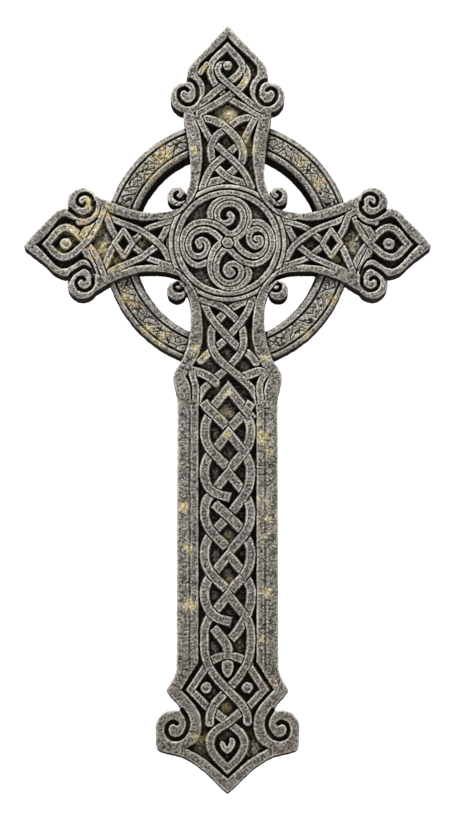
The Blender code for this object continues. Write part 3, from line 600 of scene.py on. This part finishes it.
def cut_ring(work):
    """The ring: two plain fillets with a band of worn leaves between, behind the arms."""
    radius, turn = work.radius, work.turn
    middle = (RING_OUTER + RING_INNER) / 2 + 0.6
    share = (radius - middle) / 7.4
    round_place = turn * middle
    leaf = round_place / 9.5 + 0.75 * share * np.sign(np.sin(round_place / 6.0)) + 0.35 * grain(8.0, 21)
    strokes = ramp(1 - np.abs(np.sin(leaf * np.pi)) * 2.8)
    curls = ramp(1 - np.abs(noise_at(round_place / 4.6, radius / 3.2, 22)) / 0.26)
    cut = np.maximum(strokes, curls) * ramp((1 - np.abs(share)) * 3.0)
    level = -RING_BACK - 0.6 * ramp((1 - np.abs(share)) * 3.0) - LEAF_DEPTH * cut
    # The leaf strokes are painted dark too: tool marks, with painted shade in the cuts.
    work.tooling_and_shade = np.maximum(work.tooling_and_shade, cut)
    for groove_radius, edge_radius in ((RING_OUTER - 5.6, RING_OUTER), (RING_INNER + 7.0, RING_INNER)):
        line = np.sqrt(np.clip(1 - ((radius - groove_radius) / 1.3) ** 2, 0, 1))
        level -= FILLET_LINE_DEPTH * line
        # The fillet lines are painted dark as well: painted shade in the grooves.
        work.tooling_and_shade = np.maximum(work.tooling_and_shade, 0.9 * line)
        fillet_half = abs(edge_radius - groove_radius) / 2
        crown = np.abs(radius - (edge_radius + groove_radius) / 2) / fillet_half
        level -= np.where(crown < 1, FILLET_CROWN * crown ** 3, 0)
    edge = np.clip(1 - work.ring * STEP / OUTER_ROUND, 0, 1)
    level -= 0.7 * OUTER_ROUND * (1 - np.sqrt(1 - edge ** 2))
    work.height = np.where(work.ring > -0.8, np.maximum(work.height, level), work.height)
    work.tooling_and_shade = np.where(work.solid > -0.5, 0, work.tooling_and_shade)


def cut_floors(work):
    """Sink the floors that the knotwork stands in, with one shallower place in the top floor."""
    floor = inside_distance(outline(TOP_FLOOR))
    floor = np.maximum(floor, inside_distance(outline(LOW_FLOOR)))
    arm = outline(ARM_FLOOR, mirror=False)
    for line in (arm, mirrored(arm)):
        floor = np.maximum(floor, inside_distance(line))
    floor = np.where(work.medallion > -2.4, np.minimum(floor, -work.medallion - 2.4), floor)
    floor = floor + 0.25 * grain(2.4, 31)
    depth = FLOOR + 1.2 * grain(3.0, 32) + 0.8 * grain(1.4, 33)
    depth -= 6.0 * np.exp(-((ACROSS - AXIS) ** 2 + (DOWN - 115) ** 2) / 110)
    work.floor = floor
    inner = np.clip(1 + floor * STEP / INNER_ROUND, 0, 1)
    work.height = work.height - INNER_FALL * (1 - np.sqrt(1 - inner ** 2)) * (work.solid > 0)
    work.height = work.height - np.clip(floor * WALL_SLOPE * 1.4, 0, depth)


def cut_shaft_borders(work):
    """A thin line down each side of the shaft, and the chisel's ticks across its borders."""
    offset = np.abs(ACROSS - AXIS)
    on_shaft = ramp((DOWN - 398) / 16) * ramp((676 - DOWN) / 12)
    line = np.sqrt(np.clip(1 - ((offset - BORDER_LINE - 0.3 * grain(9, 41)) / 1.3) ** 2, 0, 1))
    work.height -= BORDER_LINE_DEPTH * line * on_shaft
    # The border line is painted dark: painted shade in the groove.
    work.tooling_and_shade = np.maximum(work.tooling_and_shade, 0.5 * line * on_shaft)
    ticks = ramp(1.8 * np.sin(DOWN * 1.5 + 2.6 * grain(3.2, 42)) - 0.6)
    border = (on_shaft > 0.5) & (offset > 30)
    work.height -= np.where(border, 0.45 * ticks, 0)


def cut_medallion(work):
    """The medallion: two plain bands round a sunk field of four wound lobes."""
    inside = work.medallion
    rise = MEDALLION_RISE * ramp((inside + 0.4) / 1.2)
    work.height = np.where(inside > -0.5, rise - 0.9 * (1 - ramp(inside / 1.4)), work.height)
    groove = np.sqrt(np.clip(1 - ((inside - BAND_GROOVE) / 1.2) ** 2, 0, 1))
    around = np.sqrt(np.clip(1 - ((inside + 1.1) / 1.4) ** 2, 0, 1))
    work.height -= np.where(inside > 0, 5.0 * groove, 6.0 * around)
    inner_band = inside > BAND_GROOVE
    crown = np.abs(np.where(inner_band, inside - 7.9, inside - 2.0)) / np.where(inner_band, 3.2, 2.6)
    work.height -= np.where((inside > 0) & (inside < BAND_END), 1.1 * np.clip(crown, 0, 1) ** 3, 0)
    field = inside - BAND_END + 0.25 * grain(2.2, 51)
    depth = FLOOR - 1 + MEDALLION_RISE + 1.0 * grain(2.6, 52)
    work.height -= np.clip(field * WALL_SLOPE * 1.4, 0, depth)
    lobes = [(name, LOBE_WIDTH, places) for name, places in LOBES]
    work.lay(lobes, field, rise=MEDALLION_RISE)


def cut_knots(work):
    """All the knotwork outside the medallion."""
    work.lay(TOP_KNOT, work.floor)
    work.lay(FINIAL_KNOT, work.floor)
    work.lay(NECK_KNOT, work.floor)
    chevrons = []
    for number, (across, down, left_reach, right_reach) in enumerate(CHEVRONS):
        for side, reach in (("left", -left_reach), ("right", right_reach)):
            away = math.copysign(CHEVRON_LEAN, reach)
            places = [(across - 8 * away, down - 8), (across, down), (across + abs(reach) * 0.72 * away,
                      down + abs(reach) * 0.72), (across + abs(reach) * away, down + abs(reach), 0.3)]
            chevrons.append((f"chevron_{number}_{side}", 8.6, places))
            MITRES[f"chevron_{number}_{side}"] = ("across", across, math.copysign(1, reach), 0, 900)
    work.lay(chevrons + SHAFT_KNOT, work.floor, square=True)
    work.lay(FOOT_KNOT, work.floor)
    for flip in (False, True):
        work.lay(LEFT_ARM_KNOT, work.floor, flip=flip)
        work.lay([("rhombus", *ARM_RHOMBUS)], work.floor, closed=True, flip=flip, steps=1)
        work.lay(RIGHT_END_KNOT, work.floor, flip=flip)
        work.lay(RIGHT_END_TAILS, work.floor, flip=flip)
    for flip in (False, True):
        work.lay(CORNER_BANDS, np.full(ACROSS.shape, 5.0), rise=MEDALLION_RISE + 1.2, flip=flip)
        for width, places in SCROLL_GROOVES:
            work.groove(width, places, GROOVE_DEPTH, flip)
    for across, down, radius in BUDS:
        work.bud(across, down, radius)
        pit = [(across - 1.6, down + 1.2), (across, down + 2.2), (across + 1.2, down + 1.4)]
        work.groove(1.8, pit, PIT_DEPTH)
    work.bud(AXIS + 0.4, MIDDLE - 0.4, 5.4, rise=MEDALLION_RISE + 1.0, through=9.0)
    for shape in (PENDANT, HEART):
        distance = inside_distance(smooth_line(np.array(shape, float), 4, closed=True))
        around = (distance < 0) & (distance > -1.3) & (work.height < -1)
        work.height = np.where(around, np.minimum(work.height, -GUTTER - 1.5), work.height)
        top = STRAND_TOP - EDGE_ROUND * ramp(1 - distance / 1.2)
        work.height = np.where(distance > 0, np.maximum(work.height, top), work.height)


# Lichen: places across and down, with the size of the patch in steps.
LICHEN = [
    (164, 155, 18), (150, 172, 11), (300, 162, 10), (318, 182, 9), (127, 300, 14), (150, 330, 9),
    (164, 339, 12), (310, 338, 14), (333, 300, 9), (90, 226, 19), (72, 236, 16), (104, 214, 13),
    (116, 262, 14), (98, 250, 14), (88, 206, 9), (62, 250, 8), (204, 69, 7), (244, 80, 10),
    (239, 72, 5), (227, 115, 12), (236, 116, 8), (242, 132, 7), (249, 148, 10), (200, 353, 10),
    (206, 361, 6), (266, 358, 9), (228, 394, 7), (218, 389, 7), (228, 434, 6), (224, 413, 7),
    (254, 424, 7), (258, 435, 6), (266, 440, 9), (269, 452, 6), (263, 502, 8), (268, 522, 13),
    (262, 540, 7), (266, 592, 8), (191, 604, 10), (184, 506, 7), (188, 549, 6), (228, 537, 6),
    (229, 579, 6), (348, 246, 9), (336, 259, 6), (360, 236, 5), (225, 706, 6), (199, 738, 9),
    (252, 750, 7), (272, 684, 8), (145, 244, 8), (194, 150, 5), (258, 386, 5), (262, 640, 5),
]


def chisel_rims(work):
    """Short chisel strokes square to the nearest edge, all over the rims and borders."""
    slope_v, slope_u = np.gradient(blur(np.clip(work.solid, -30, 60), 2.0))
    facing = np.arctan2(slope_v, slope_u) % np.pi
    strokes = np.zeros(ACROSS.shape)
    turns = 8
    for k in range(turns):
        angle = k * np.pi / turns
        inward = ACROSS * math.cos(angle) + DOWN * math.sin(angle)
        beside = -ACROSS * math.sin(angle) + DOWN * math.cos(angle)
        bend = 1.6 * grain(6.0, 80)
        pattern = noise_at(inward / 3.0, (beside + bend) / 1.5, 90 + k)
        nearest = np.abs((facing - angle + np.pi / 2) % np.pi - np.pi / 2) < np.pi / turns / 2 + 0.02
        strokes = np.where(nearest, ramp(pattern * 2.6 - 0.35), strokes)
    plain = (work.floor < 0.2) & (work.solid > 0.3) & (work.medallion < 0)
    # The strokes are painted dark as well as cut: tool marks, with painted shade in the cuts.
    work.tooling_and_shade = np.where(plain, np.maximum(work.tooling_and_shade, 0.75 * strokes), work.tooling_and_shade)
    work.height -= np.where(plain, 0.6 * strokes, 0)
    bands = (work.medallion > 0) & (work.medallion < BAND_END)
    radial = ramp(noise_at(work.turn * 52 / 1.6, work.radius / 5.0, 99) * 2.4 - 0.3)
    work.tooling_and_shade = np.where(bands, np.maximum(work.tooling_and_shade, 0.7 * radial), work.tooling_and_shade)
    work.height -= np.where(bands, 0.5 * radial, 0)


def weather(work):
    """Fields for the finish: painted shade in hollows and on down-facing slopes, painted highlight on raised
    edges, how pitted each place is, and how lichened.
    """
    height = work.height
    lines = np.maximum(winding_lines(3.1, 0.22, 81), winding_lines(2.2, 0.18, 82))
    pits = ramp(grain(1.5, 83) * 3.0 - 0.9)
    height -= 0.5 * lines + 0.55 * pits + 0.5 * ramp(grain(2.8, 63) * 3 - 1.6)
    # Chisel lines and pits are painted dark: tool texture, with painted shade in the cuts.
    work.tooling_and_shade = np.clip(np.maximum(work.tooling_and_shade, 0.62 * lines) + 0.55 * pits, 0, 1)
    clipped = np.where(work.whole > -1.2, np.maximum(height, -26), -26)
    near = blur(clipped, 1.1)
    wide = blur(clipped, 4.0)
    # Painted shade: darker where a place lies below its near and its wider surroundings.
    below_near = np.clip((near - clipped - 0.5) / 3.2, 0, 1)
    below_wide = np.clip((wide - clipped - 0.5) / 7.0, 0, 1)
    work.hollow = 0.7 * below_near + below_wide
    # Painted shade on slopes that face down, away from the light above.
    down_slope = -np.gradient(clipped, axis=0) / (CELL * STEP)
    work.hollow += 0.6 * np.clip((down_slope - 0.4) / 3.0, 0, 1)
    # Painted highlight: paler on edges that stand above their neighbours.
    work.worn = np.clip((clipped - near - 0.15) / 1.25, 0, 1) * (0.78 + 0.5 * grain(1.7, 84))
    work.worn = np.clip(work.worn * (0.85 + 0.4 * grain(9, 85)), 0, 1)
    patches = np.zeros(height.shape)
    for across, down, size in LICHEN:
        spread = np.exp(-(((ACROSS - across) ** 2 + (DOWN - down) ** 2) / (1.1 * size ** 2)))
        patches = np.maximum(patches, spread)
    ragged = 0.5 * grain(5.5, 71) + 0.45 * grain(2.6, 72)
    work.lichen = np.clip(patches * (0.95 + ragged) - 0.1, 0, 1)


print("carving the sheet")
work = Carving()
cut_body(work)
cut_ring(work)
cut_floors(work)
cut_shaft_borders(work)
cut_medallion(work)
cut_knots(work)
chisel_rims(work)
weather(work)
rows_down, cols_right = work.height.shape
slope_down, slope_right = np.gradient(work.whole, CELL)


# Blocks of the cross: name, and its box on the sheet as left, right, top and bottom.
BLOCKS = [
    ("carved_top", 20, 436, 18, 190), ("carved_left_arm", 20, 172, 190, 300),
    ("carved_medallion", 172, 284, 190, 300), ("carved_right_arm", 284, 436, 190, 300),
    ("carved_neck", 20, 436, 300, 400), ("carved_upper_shaft", 20, 436, 400, 535),
    ("carved_lower_shaft", 20, 436, 535, 665), ("carved_foot", 20, 436, 665, 800),
]
WALL_ROWS = (0.06, 0.2, 0.45, 0.72, 0.95, 1.0)


def cell_index(place, start):
    """The number of the grid line nearest to a place on the sheet."""
    return int(round((place - start) / CELL))


def place_in_metres(across, down, height):
    """A place on the sheet, and a height over the rims, in the frame's metres."""
    return Vector(((across - AXIS) * STEP * MM, -(RIM_TO_BACK + height) * MM, (MIDDLE - down) * STEP * MM))


def make_block(name, left, right, top, bottom):
    """Raise one stretch of the carving, then give it its sides and its back."""
    j0 = max(cell_index(left, SHEET_LEFT), 0)
    j1 = min(cell_index(right, SHEET_LEFT), cols_right - 1)
    i0 = max(cell_index(top, SHEET_TOP), 0)
    i1 = min(cell_index(bottom, SHEET_TOP), rows_down - 1)
    bm = bmesh.new()
    bmesh.ops.create_grid(bm, x_segments=j1 - j0, y_segments=i1 - i0, size=0.5)
    layers = {word: bm.verts.layers.float.new(word) for word in ("hollow", "worn", "lichen", "tooling_and_shade")}
    spot = {}
    outside = []
    for vert in bm.verts:
        j = j0 + int(round((vert.co.x + 0.5) * (j1 - j0)))
        i = i1 - int(round((vert.co.y + 0.5) * (i1 - i0)))
        spot[vert] = (i, j)
        if work.whole[i, j] < -0.5 * CELL:
            outside.append(vert)
    bmesh.ops.delete(bm, geom=outside, context="VERTS")
    loose = [vert for vert in bm.verts if not vert.link_faces]
    bmesh.ops.delete(bm, geom=loose, context="VERTS")
    for vert in bm.verts:
        i, j = spot[vert]
        across, down = across_at[j], down_at[i]
        on_seam = (i in (i0, i1) and 0 < i < rows_down - 1) or (j in (j0, j1) and 0 < j < cols_right - 1)
        if vert.is_boundary and not on_seam:
            steep = slope_right[i, j] ** 2 + slope_down[i, j] ** 2
            if steep > LEAST_SLOPE:
                move = np.clip(work.whole[i, j], -CELL, CELL) / steep
                across -= move * slope_right[i, j]
                down -= move * slope_down[i, j]
        vert.co = place_in_metres(across, down, max(work.height[i, j], -RIM_TO_BACK + 2))
        vert[layers["hollow"]] = min(work.hollow[i, j], 1.0)
        vert[layers["worn"]] = work.worn[i, j]
        vert[layers["lichen"]] = work.lichen[i, j]
        vert[layers["tooling_and_shade"]] = work.tooling_and_shade[i, j]
    add_sides_and_back(bm, layers)
    return finish_block(bm, name)


def ring_flare(spot):
    """How far the back of the ring's inner wall stands in from its front, in metres."""
    i = cell_index(MIDDLE - spot.z / (STEP * MM), SHEET_TOP)
    j = cell_index(AXIS + spot.x / (STEP * MM), SHEET_LEFT)
    if math.hypot(spot.x, spot.z) > (RING_INNER + 2) * STEP * MM:
        return 0.0
    return RING_FLARE * MM * float(ramp(1 + work.ring[i, j] / 9))


def add_sides_and_back(bm, layers):
    """Draw the border back in a few rows, then close the flat back."""
    sides = []
    border = [edge for edge in bm.edges if edge.is_boundary]
    for edge in border:
        edge.smooth = False
    start = {vert: vert.co.y for edge in border for vert in edge.verts}
    origin = {vert: vert for vert in start}
    flare = {vert: ring_flare(vert.co) for vert in start}
    done = 0.0
    for share in WALL_ROWS:
        made = bmesh.ops.extrude_edge_only(bm, edges=border)["geom"]
        new_verts = [part for part in made if isinstance(part, bmesh.types.BMVert)]
        old_at = {}
        for edge in border:
            for vert in edge.verts:
                old_at[(vert.co.x, vert.co.z)] = origin[vert]
        fresh = {}
        for vert in new_verts:
            source = old_at[(vert.co.x, vert.co.z)]
            fresh[vert] = source
            sides.append(vert)
            vert.co.y = start[source] * (1 - share)
            vert[layers["tooling_and_shade"]] = 0.25
            vert[layers["worn"]] = 0.0
            vert[layers["lichen"]] *= 0.5 if share == WALL_ROWS[0] else 0.0
            shrink = 1 - (share - done) * flare[source] / math.hypot(vert.co.x, vert.co.z)
            vert.co.x *= shrink
            vert.co.z *= shrink
        origin = fresh
        done = share
        border = [part for part in made if isinstance(part, bmesh.types.BMEdge) and part.is_boundary]
    for edge in border:
        edge.smooth = False
    back = {vert for edge in border for vert in edge.verts}
    bmesh.ops.triangle_fill(bm, edges=border, use_beauty=True, normal=Vector((0, 1, 0)))
    bmesh.ops.recalc_face_normals(bm, faces=bm.faces)
    bm.normal_update()
    # Painted shade: the front edge above a wall is darkened as much as the wall faces down.
    for edge in bm.edges:
        if edge.smooth:
            continue
        walls = [face for face in edge.link_faces if abs(face.normal.y) < 0.5]
        for vert in edge.verts:
            if walls:
                vert[layers["hollow"]] = max(vert[layers["hollow"]], -0.95 * walls[0].normal.z)
    # Painted shade on the walls: some everywhere, more the more a wall faces down.
    for vert in sides:
        vert[layers["hollow"]] = min(0.40 + 1.4 * max(-vert.normal.z - 0.05, 0), 1.0)
    # A little painted shade over the whole back.
    for vert in back:
        vert[layers["hollow"]] = 0.25


def finish_block(bm, name):
    """Make a block's mesh an object of its own, smooth except at its sharp edges."""
    bmesh.ops.recalc_face_normals(bm, faces=bm.faces)
    for face in bm.faces:
        face.smooth = True
    mesh = bpy.data.meshes.new(name)
    bm.to_mesh(mesh)
    bm.free()
    block = bpy.data.objects.new(name, mesh)
    bpy.context.scene.collection.objects.link(block)
    return block


def colour(code):
    """A colour as an sRGB hex code, in the linear values that the shader takes."""
    channels = [int(code[k:k + 2], 16) / 255 for k in (1, 3, 5)]
    linear = [c / 12.92 if c <= 0.04045 else ((c + 0.055) / 1.055) ** 2.4 for c in channels]
    return (*linear, 1.0)


def add_node(tree, kind, settings=None, inputs=None):
    """One shader node with its settings. Inputs go by name or number, as values or other nodes' sockets."""
    node = tree.nodes.new(kind)
    for name, value in (settings or {}).items():
        setattr(node, name, value)
    for socket, value in (inputs or {}).items():
        if isinstance(value, bpy.types.NodeSocket):
            tree.links.new(value, node.inputs[socket])
        else:
            node.inputs[socket].default_value = value
    return node


# Grains of the stone and of the lichen: name, size in mm, detail and roughness. One photo pixel is
# taken as 1.5 mm, so the finest grains are two or three pixels wide.
GRAINS = [
    ("bed", 45.5, 4.0, 0.6), ("purple_veil", 38.5, 5.0, 0.7), ("green_veil", 32.3, 5.0, 0.7),
    ("pale_grain", 3.33, 3.0, 0.7), ("dark_grain", 2.63, 3.0, 0.75), ("blotch", 16.7, 4.0, 0.65),
    ("lichen_speck", 3.85, 4.0, 0.8), ("crust_speck", 4.35, 4.0, 0.6), ("crust_patch", 28.6, 4.0, 0.6),
    ("roughening", 2.38, 4.0, 0.75),
]
LICHEN_SPREAD = 0.31          # how much a full patch of lichen adds to its specks
# How much of each coat shows: coat, what it follows, the values where it starts and is full, its most.
SHARES = [
    ("bed", "bed", 0.35, 0.68, 1.0), ("purple", "purple_veil", 0.5, 0.62, 0.55),
    ("green", "green_veil", 0.52, 0.64, 0.5), ("pale", "pale_grain", 0.44, 0.60, 1.0),
    ("dark", "dark_grain", 0.50, 0.64, 0.85), ("damp_foot", "height", -0.45, -0.72, 0.45),
    # Next line: tool marks, darkened also as painted shade in cuts and grooves.
    ("blotch", "blotch", 0.48, 0.7, 0.5), ("tool_marks_and_shade", "tooling_and_shade", 0.0, 1.0, 0.92),
    # Next line: a painted highlight on raised edges, then painted shade in hollows and on down-facing walls.
    ("worn_edges", "worn", 0.0, 1.0, 0.95), ("painted_shade", "hollow", 0.1, 0.8, 0.95),
    ("pale_crust", "crust_speck", 0.42, 0.58, 1.0), ("pink_crust", "crust_patch", 0.52, 0.66, 1.0),
    # Next line, last share: lichen fades where the painted shade is strong, so that shade shows over it.
    ("lichen", "speckle", 0.675, 0.705, 0.95), ("lichen_out_of_shade", "hollow", 1.35, 0.4, 1.0),
]
# Coats in the order that they lie: what they lie on, which coat, and its colour.
COATS = [
    ("stone", "bed", "#959089"), ("stone", "purple", "#857a80"), ("stone", "green", "#76786c"),
    ("stone", "pale", "#d2cdc3"), ("stone", "dark", "#332e28"), ("stone", "damp_foot", "#86786b"),
    # Next line: the dark of tool marks, also painted shade in cuts, then the pale of the painted highlight.
    ("stone", "blotch", "#55504a"), ("stone", "tool_marks_and_shade", "#332e29"), ("stone", "worn_edges", "#ebe6dd"),
    # Next line first: the dark of the painted shade.
    ("stone", "painted_shade", "#2c251f"), ("crust", "pale_crust", "#efe6c4"), ("crust", "pink_crust", "#cdb096"),
]
# The colours under those coats: the bare stone, and the crust of lichen.
STONE_GREY, CRUST_OCHRE = "#716c67", "#a8965a"
STONE_ROUGHNESS = 0.92
ROUGHENING_HEIGHT = 1.5       # mm


def stone_material():
    """Grey stone cut by hand with point and chisel, then left in the rain for many years.

    No polish is left, so it is dull from every side. Raised edges carry a pale painted highlight, hollows and
    down-facing walls a dark painted shade, and lichen grows in ochre and cream patches, held back under that
    shade.
    """
    material = bpy.data.materials.new("weathered_stone")
    material.use_nodes = True
    tree = material.node_tree
    tree.nodes.clear()
    place = add_node(tree, "ShaderNodeTexCoord").outputs["Object"]
    height = add_node(tree, "ShaderNodeSeparateXYZ", inputs={"Vector": place}).outputs["Z"]
    follows = {"height": height}
    for name in ("hollow", "worn", "tooling_and_shade", "lichen"):
        follows[name] = add_node(tree, "ShaderNodeAttribute", {"attribute_name": name}).outputs["Fac"]
    for name, size, detail, rough in GRAINS:
        noise = add_node(tree, "ShaderNodeTexNoise", inputs={
            "Vector": place, "Scale": 1 / (size * MM), "Detail": detail, "Roughness": rough})
        follows[name] = noise.outputs["Fac"]
    speckle = add_node(tree, "ShaderNodeMath", {"operation": "MULTIPLY_ADD"}, {
        0: follows["lichen"], 1: LICHEN_SPREAD, 2: follows["lichen_speck"]})
    follows["speckle"] = speckle.outputs[0]
    share = {}
    for name, source, start, full, most in SHARES:
        stretch = add_node(tree, "ShaderNodeMapRange", inputs={
            "Value": follows[source], "From Min": start, "From Max": full, "To Max": most})
        share[name] = stretch.outputs["Result"]
    coat = {"stone": colour(STONE_GREY), "crust": colour(CRUST_OCHRE)}
    for under, name, code in COATS:
        laid = add_node(tree, "ShaderNodeMix", {"data_type": "RGBA"}, {
            0: share[name], 6: coat[under], 7: colour(code)})
        coat[under] = laid.outputs[2]
    # Lichen is held back where the painted shade lies.
    lichen = add_node(tree, "ShaderNodeMath", {"operation": "MULTIPLY"}, {
        0: share["lichen"], 1: share["lichen_out_of_shade"]})
    finish = add_node(tree, "ShaderNodeMix", {"data_type": "RGBA"}, {
        0: lichen.outputs[0], 6: coat["stone"], 7: coat["crust"]})
    bump = add_node(tree, "ShaderNodeBump", inputs={
        "Height": follows["roughening"], "Strength": 0.8, "Distance": ROUGHENING_HEIGHT * MM})
    shader = add_node(tree, "ShaderNodeBsdfPrincipled", inputs={
        "Base Color": finish.outputs[2], "Roughness": STONE_ROUGHNESS, "Specular IOR Level": 0.0,
        "Normal": bump.outputs["Normal"]})
    add_node(tree, "ShaderNodeOutputMaterial", inputs={"Surface": shader.outputs["BSDF"]})
    return material


# The studio, in metres and watts. Lights: name, power, size, place, and the place that they face.
FLOOR_RADIUS = 7.0
FLOOR_HEIGHT = -1.7
LIGHTS = [
    ("key_light", 206, 1.1, (-1.1, -2.6, 3.4), (0, 0, -0.2)),
    ("fill_light", 26, 3.0, (2.6, -4.0, 0.6), (0, 0, -0.2)),
    ("back_light", 190, 2.2, (1.6, 4.4, 3.4), (0, 0, -0.2)),
]
AIR_LIGHT = 0.16              # soft light from all round
GROUND_WHITE = 1.1            # how bright the ground behind the cross looks
EYE = (0.0, -12.5, -1.15)
AIM = (0.0, -0.084, -0.2488)
FILM_HEIGHT = 36.0            # mm
LENS = 367.2                  # mm
SIGHT_END = 400.0


def plain_material(name, code, rough):
    """A finish of one colour, for the studio alone."""
    material = bpy.data.materials.new(name)
    material.use_nodes = True
    shader = material.node_tree.nodes["Principled BSDF"]
    shader.inputs["Base Color"].default_value = colour(code)
    shader.inputs["Roughness"].default_value = rough
    return material


def make_studio():
    """Pale floor and white ground. A soft key light above, a little to the left, some fill, a back light."""
    floor = bmesh.new()
    bmesh.ops.create_circle(floor, cap_ends=True, segments=96, radius=FLOOR_RADIUS,
                            matrix=Matrix.Translation((0, 0, FLOOR_HEIGHT)))
    mesh = bpy.data.meshes.new("studio_floor")
    floor.to_mesh(mesh)
    floor.free()
    mesh.materials.append(plain_material("studio_paper", "#f4f3f1", 0.95))
    sheet = bpy.data.objects.new("studio_floor", mesh)
    bpy.context.scene.collection.objects.link(sheet)
    for name, power, size, place, aim in LIGHTS:
        lamp = bpy.data.lights.new(name, "AREA")
        lamp.energy = power
        lamp.size = size
        light = bpy.data.objects.new(name, lamp)
        light.location = place
        light.rotation_euler = (Vector(aim) - Vector(place)).to_track_quat("-Z", "Y").to_euler()
        bpy.context.scene.collection.objects.link(light)
    world = bpy.data.worlds.new("studio_air")
    world.use_nodes = True
    air = world.node_tree.nodes["Background"]
    air.inputs["Color"].default_value = (1, 1, 1, 1)
    # The ground is white for the camera alone, since a backdrop would hide the cross from behind.
    seen = add_node(world.node_tree, "ShaderNodeLightPath").outputs["Is Camera Ray"]
    strength = add_node(world.node_tree, "ShaderNodeMapRange", inputs={
        "Value": seen, "To Min": AIR_LIGHT, "To Max": GROUND_WHITE})
    world.node_tree.links.new(strength.outputs["Result"], air.inputs["Strength"])
    bpy.context.scene.world = world
    bpy.context.scene.view_settings.view_transform = "Standard"


def make_camera():
    """Seen from in front and a little below, as in the photo, from far off to keep the upright straight."""
    camera = bpy.data.objects.new("camera", bpy.data.cameras.new("camera"))
    camera.location = EYE
    camera.rotation_euler = (Vector(AIM) - Vector(EYE)).to_track_quat("-Z", "Y").to_euler()
    camera.data.sensor_fit = "VERTICAL"
    camera.data.sensor_height = FILM_HEIGHT
    camera.data.lens = LENS
    camera.data.clip_end = SIGHT_END
    bpy.context.scene.collection.objects.link(camera)
    bpy.context.scene.camera = camera


stone = stone_material()
for block_box in BLOCKS:
    block = make_block(*block_box)
    block.data.materials.append(stone)
    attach(block, "root")
    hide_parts("cross")
    print(block.name, len(block.data.polygons))
make_studio()
make_camera()
bpy.context.view_layer.update()
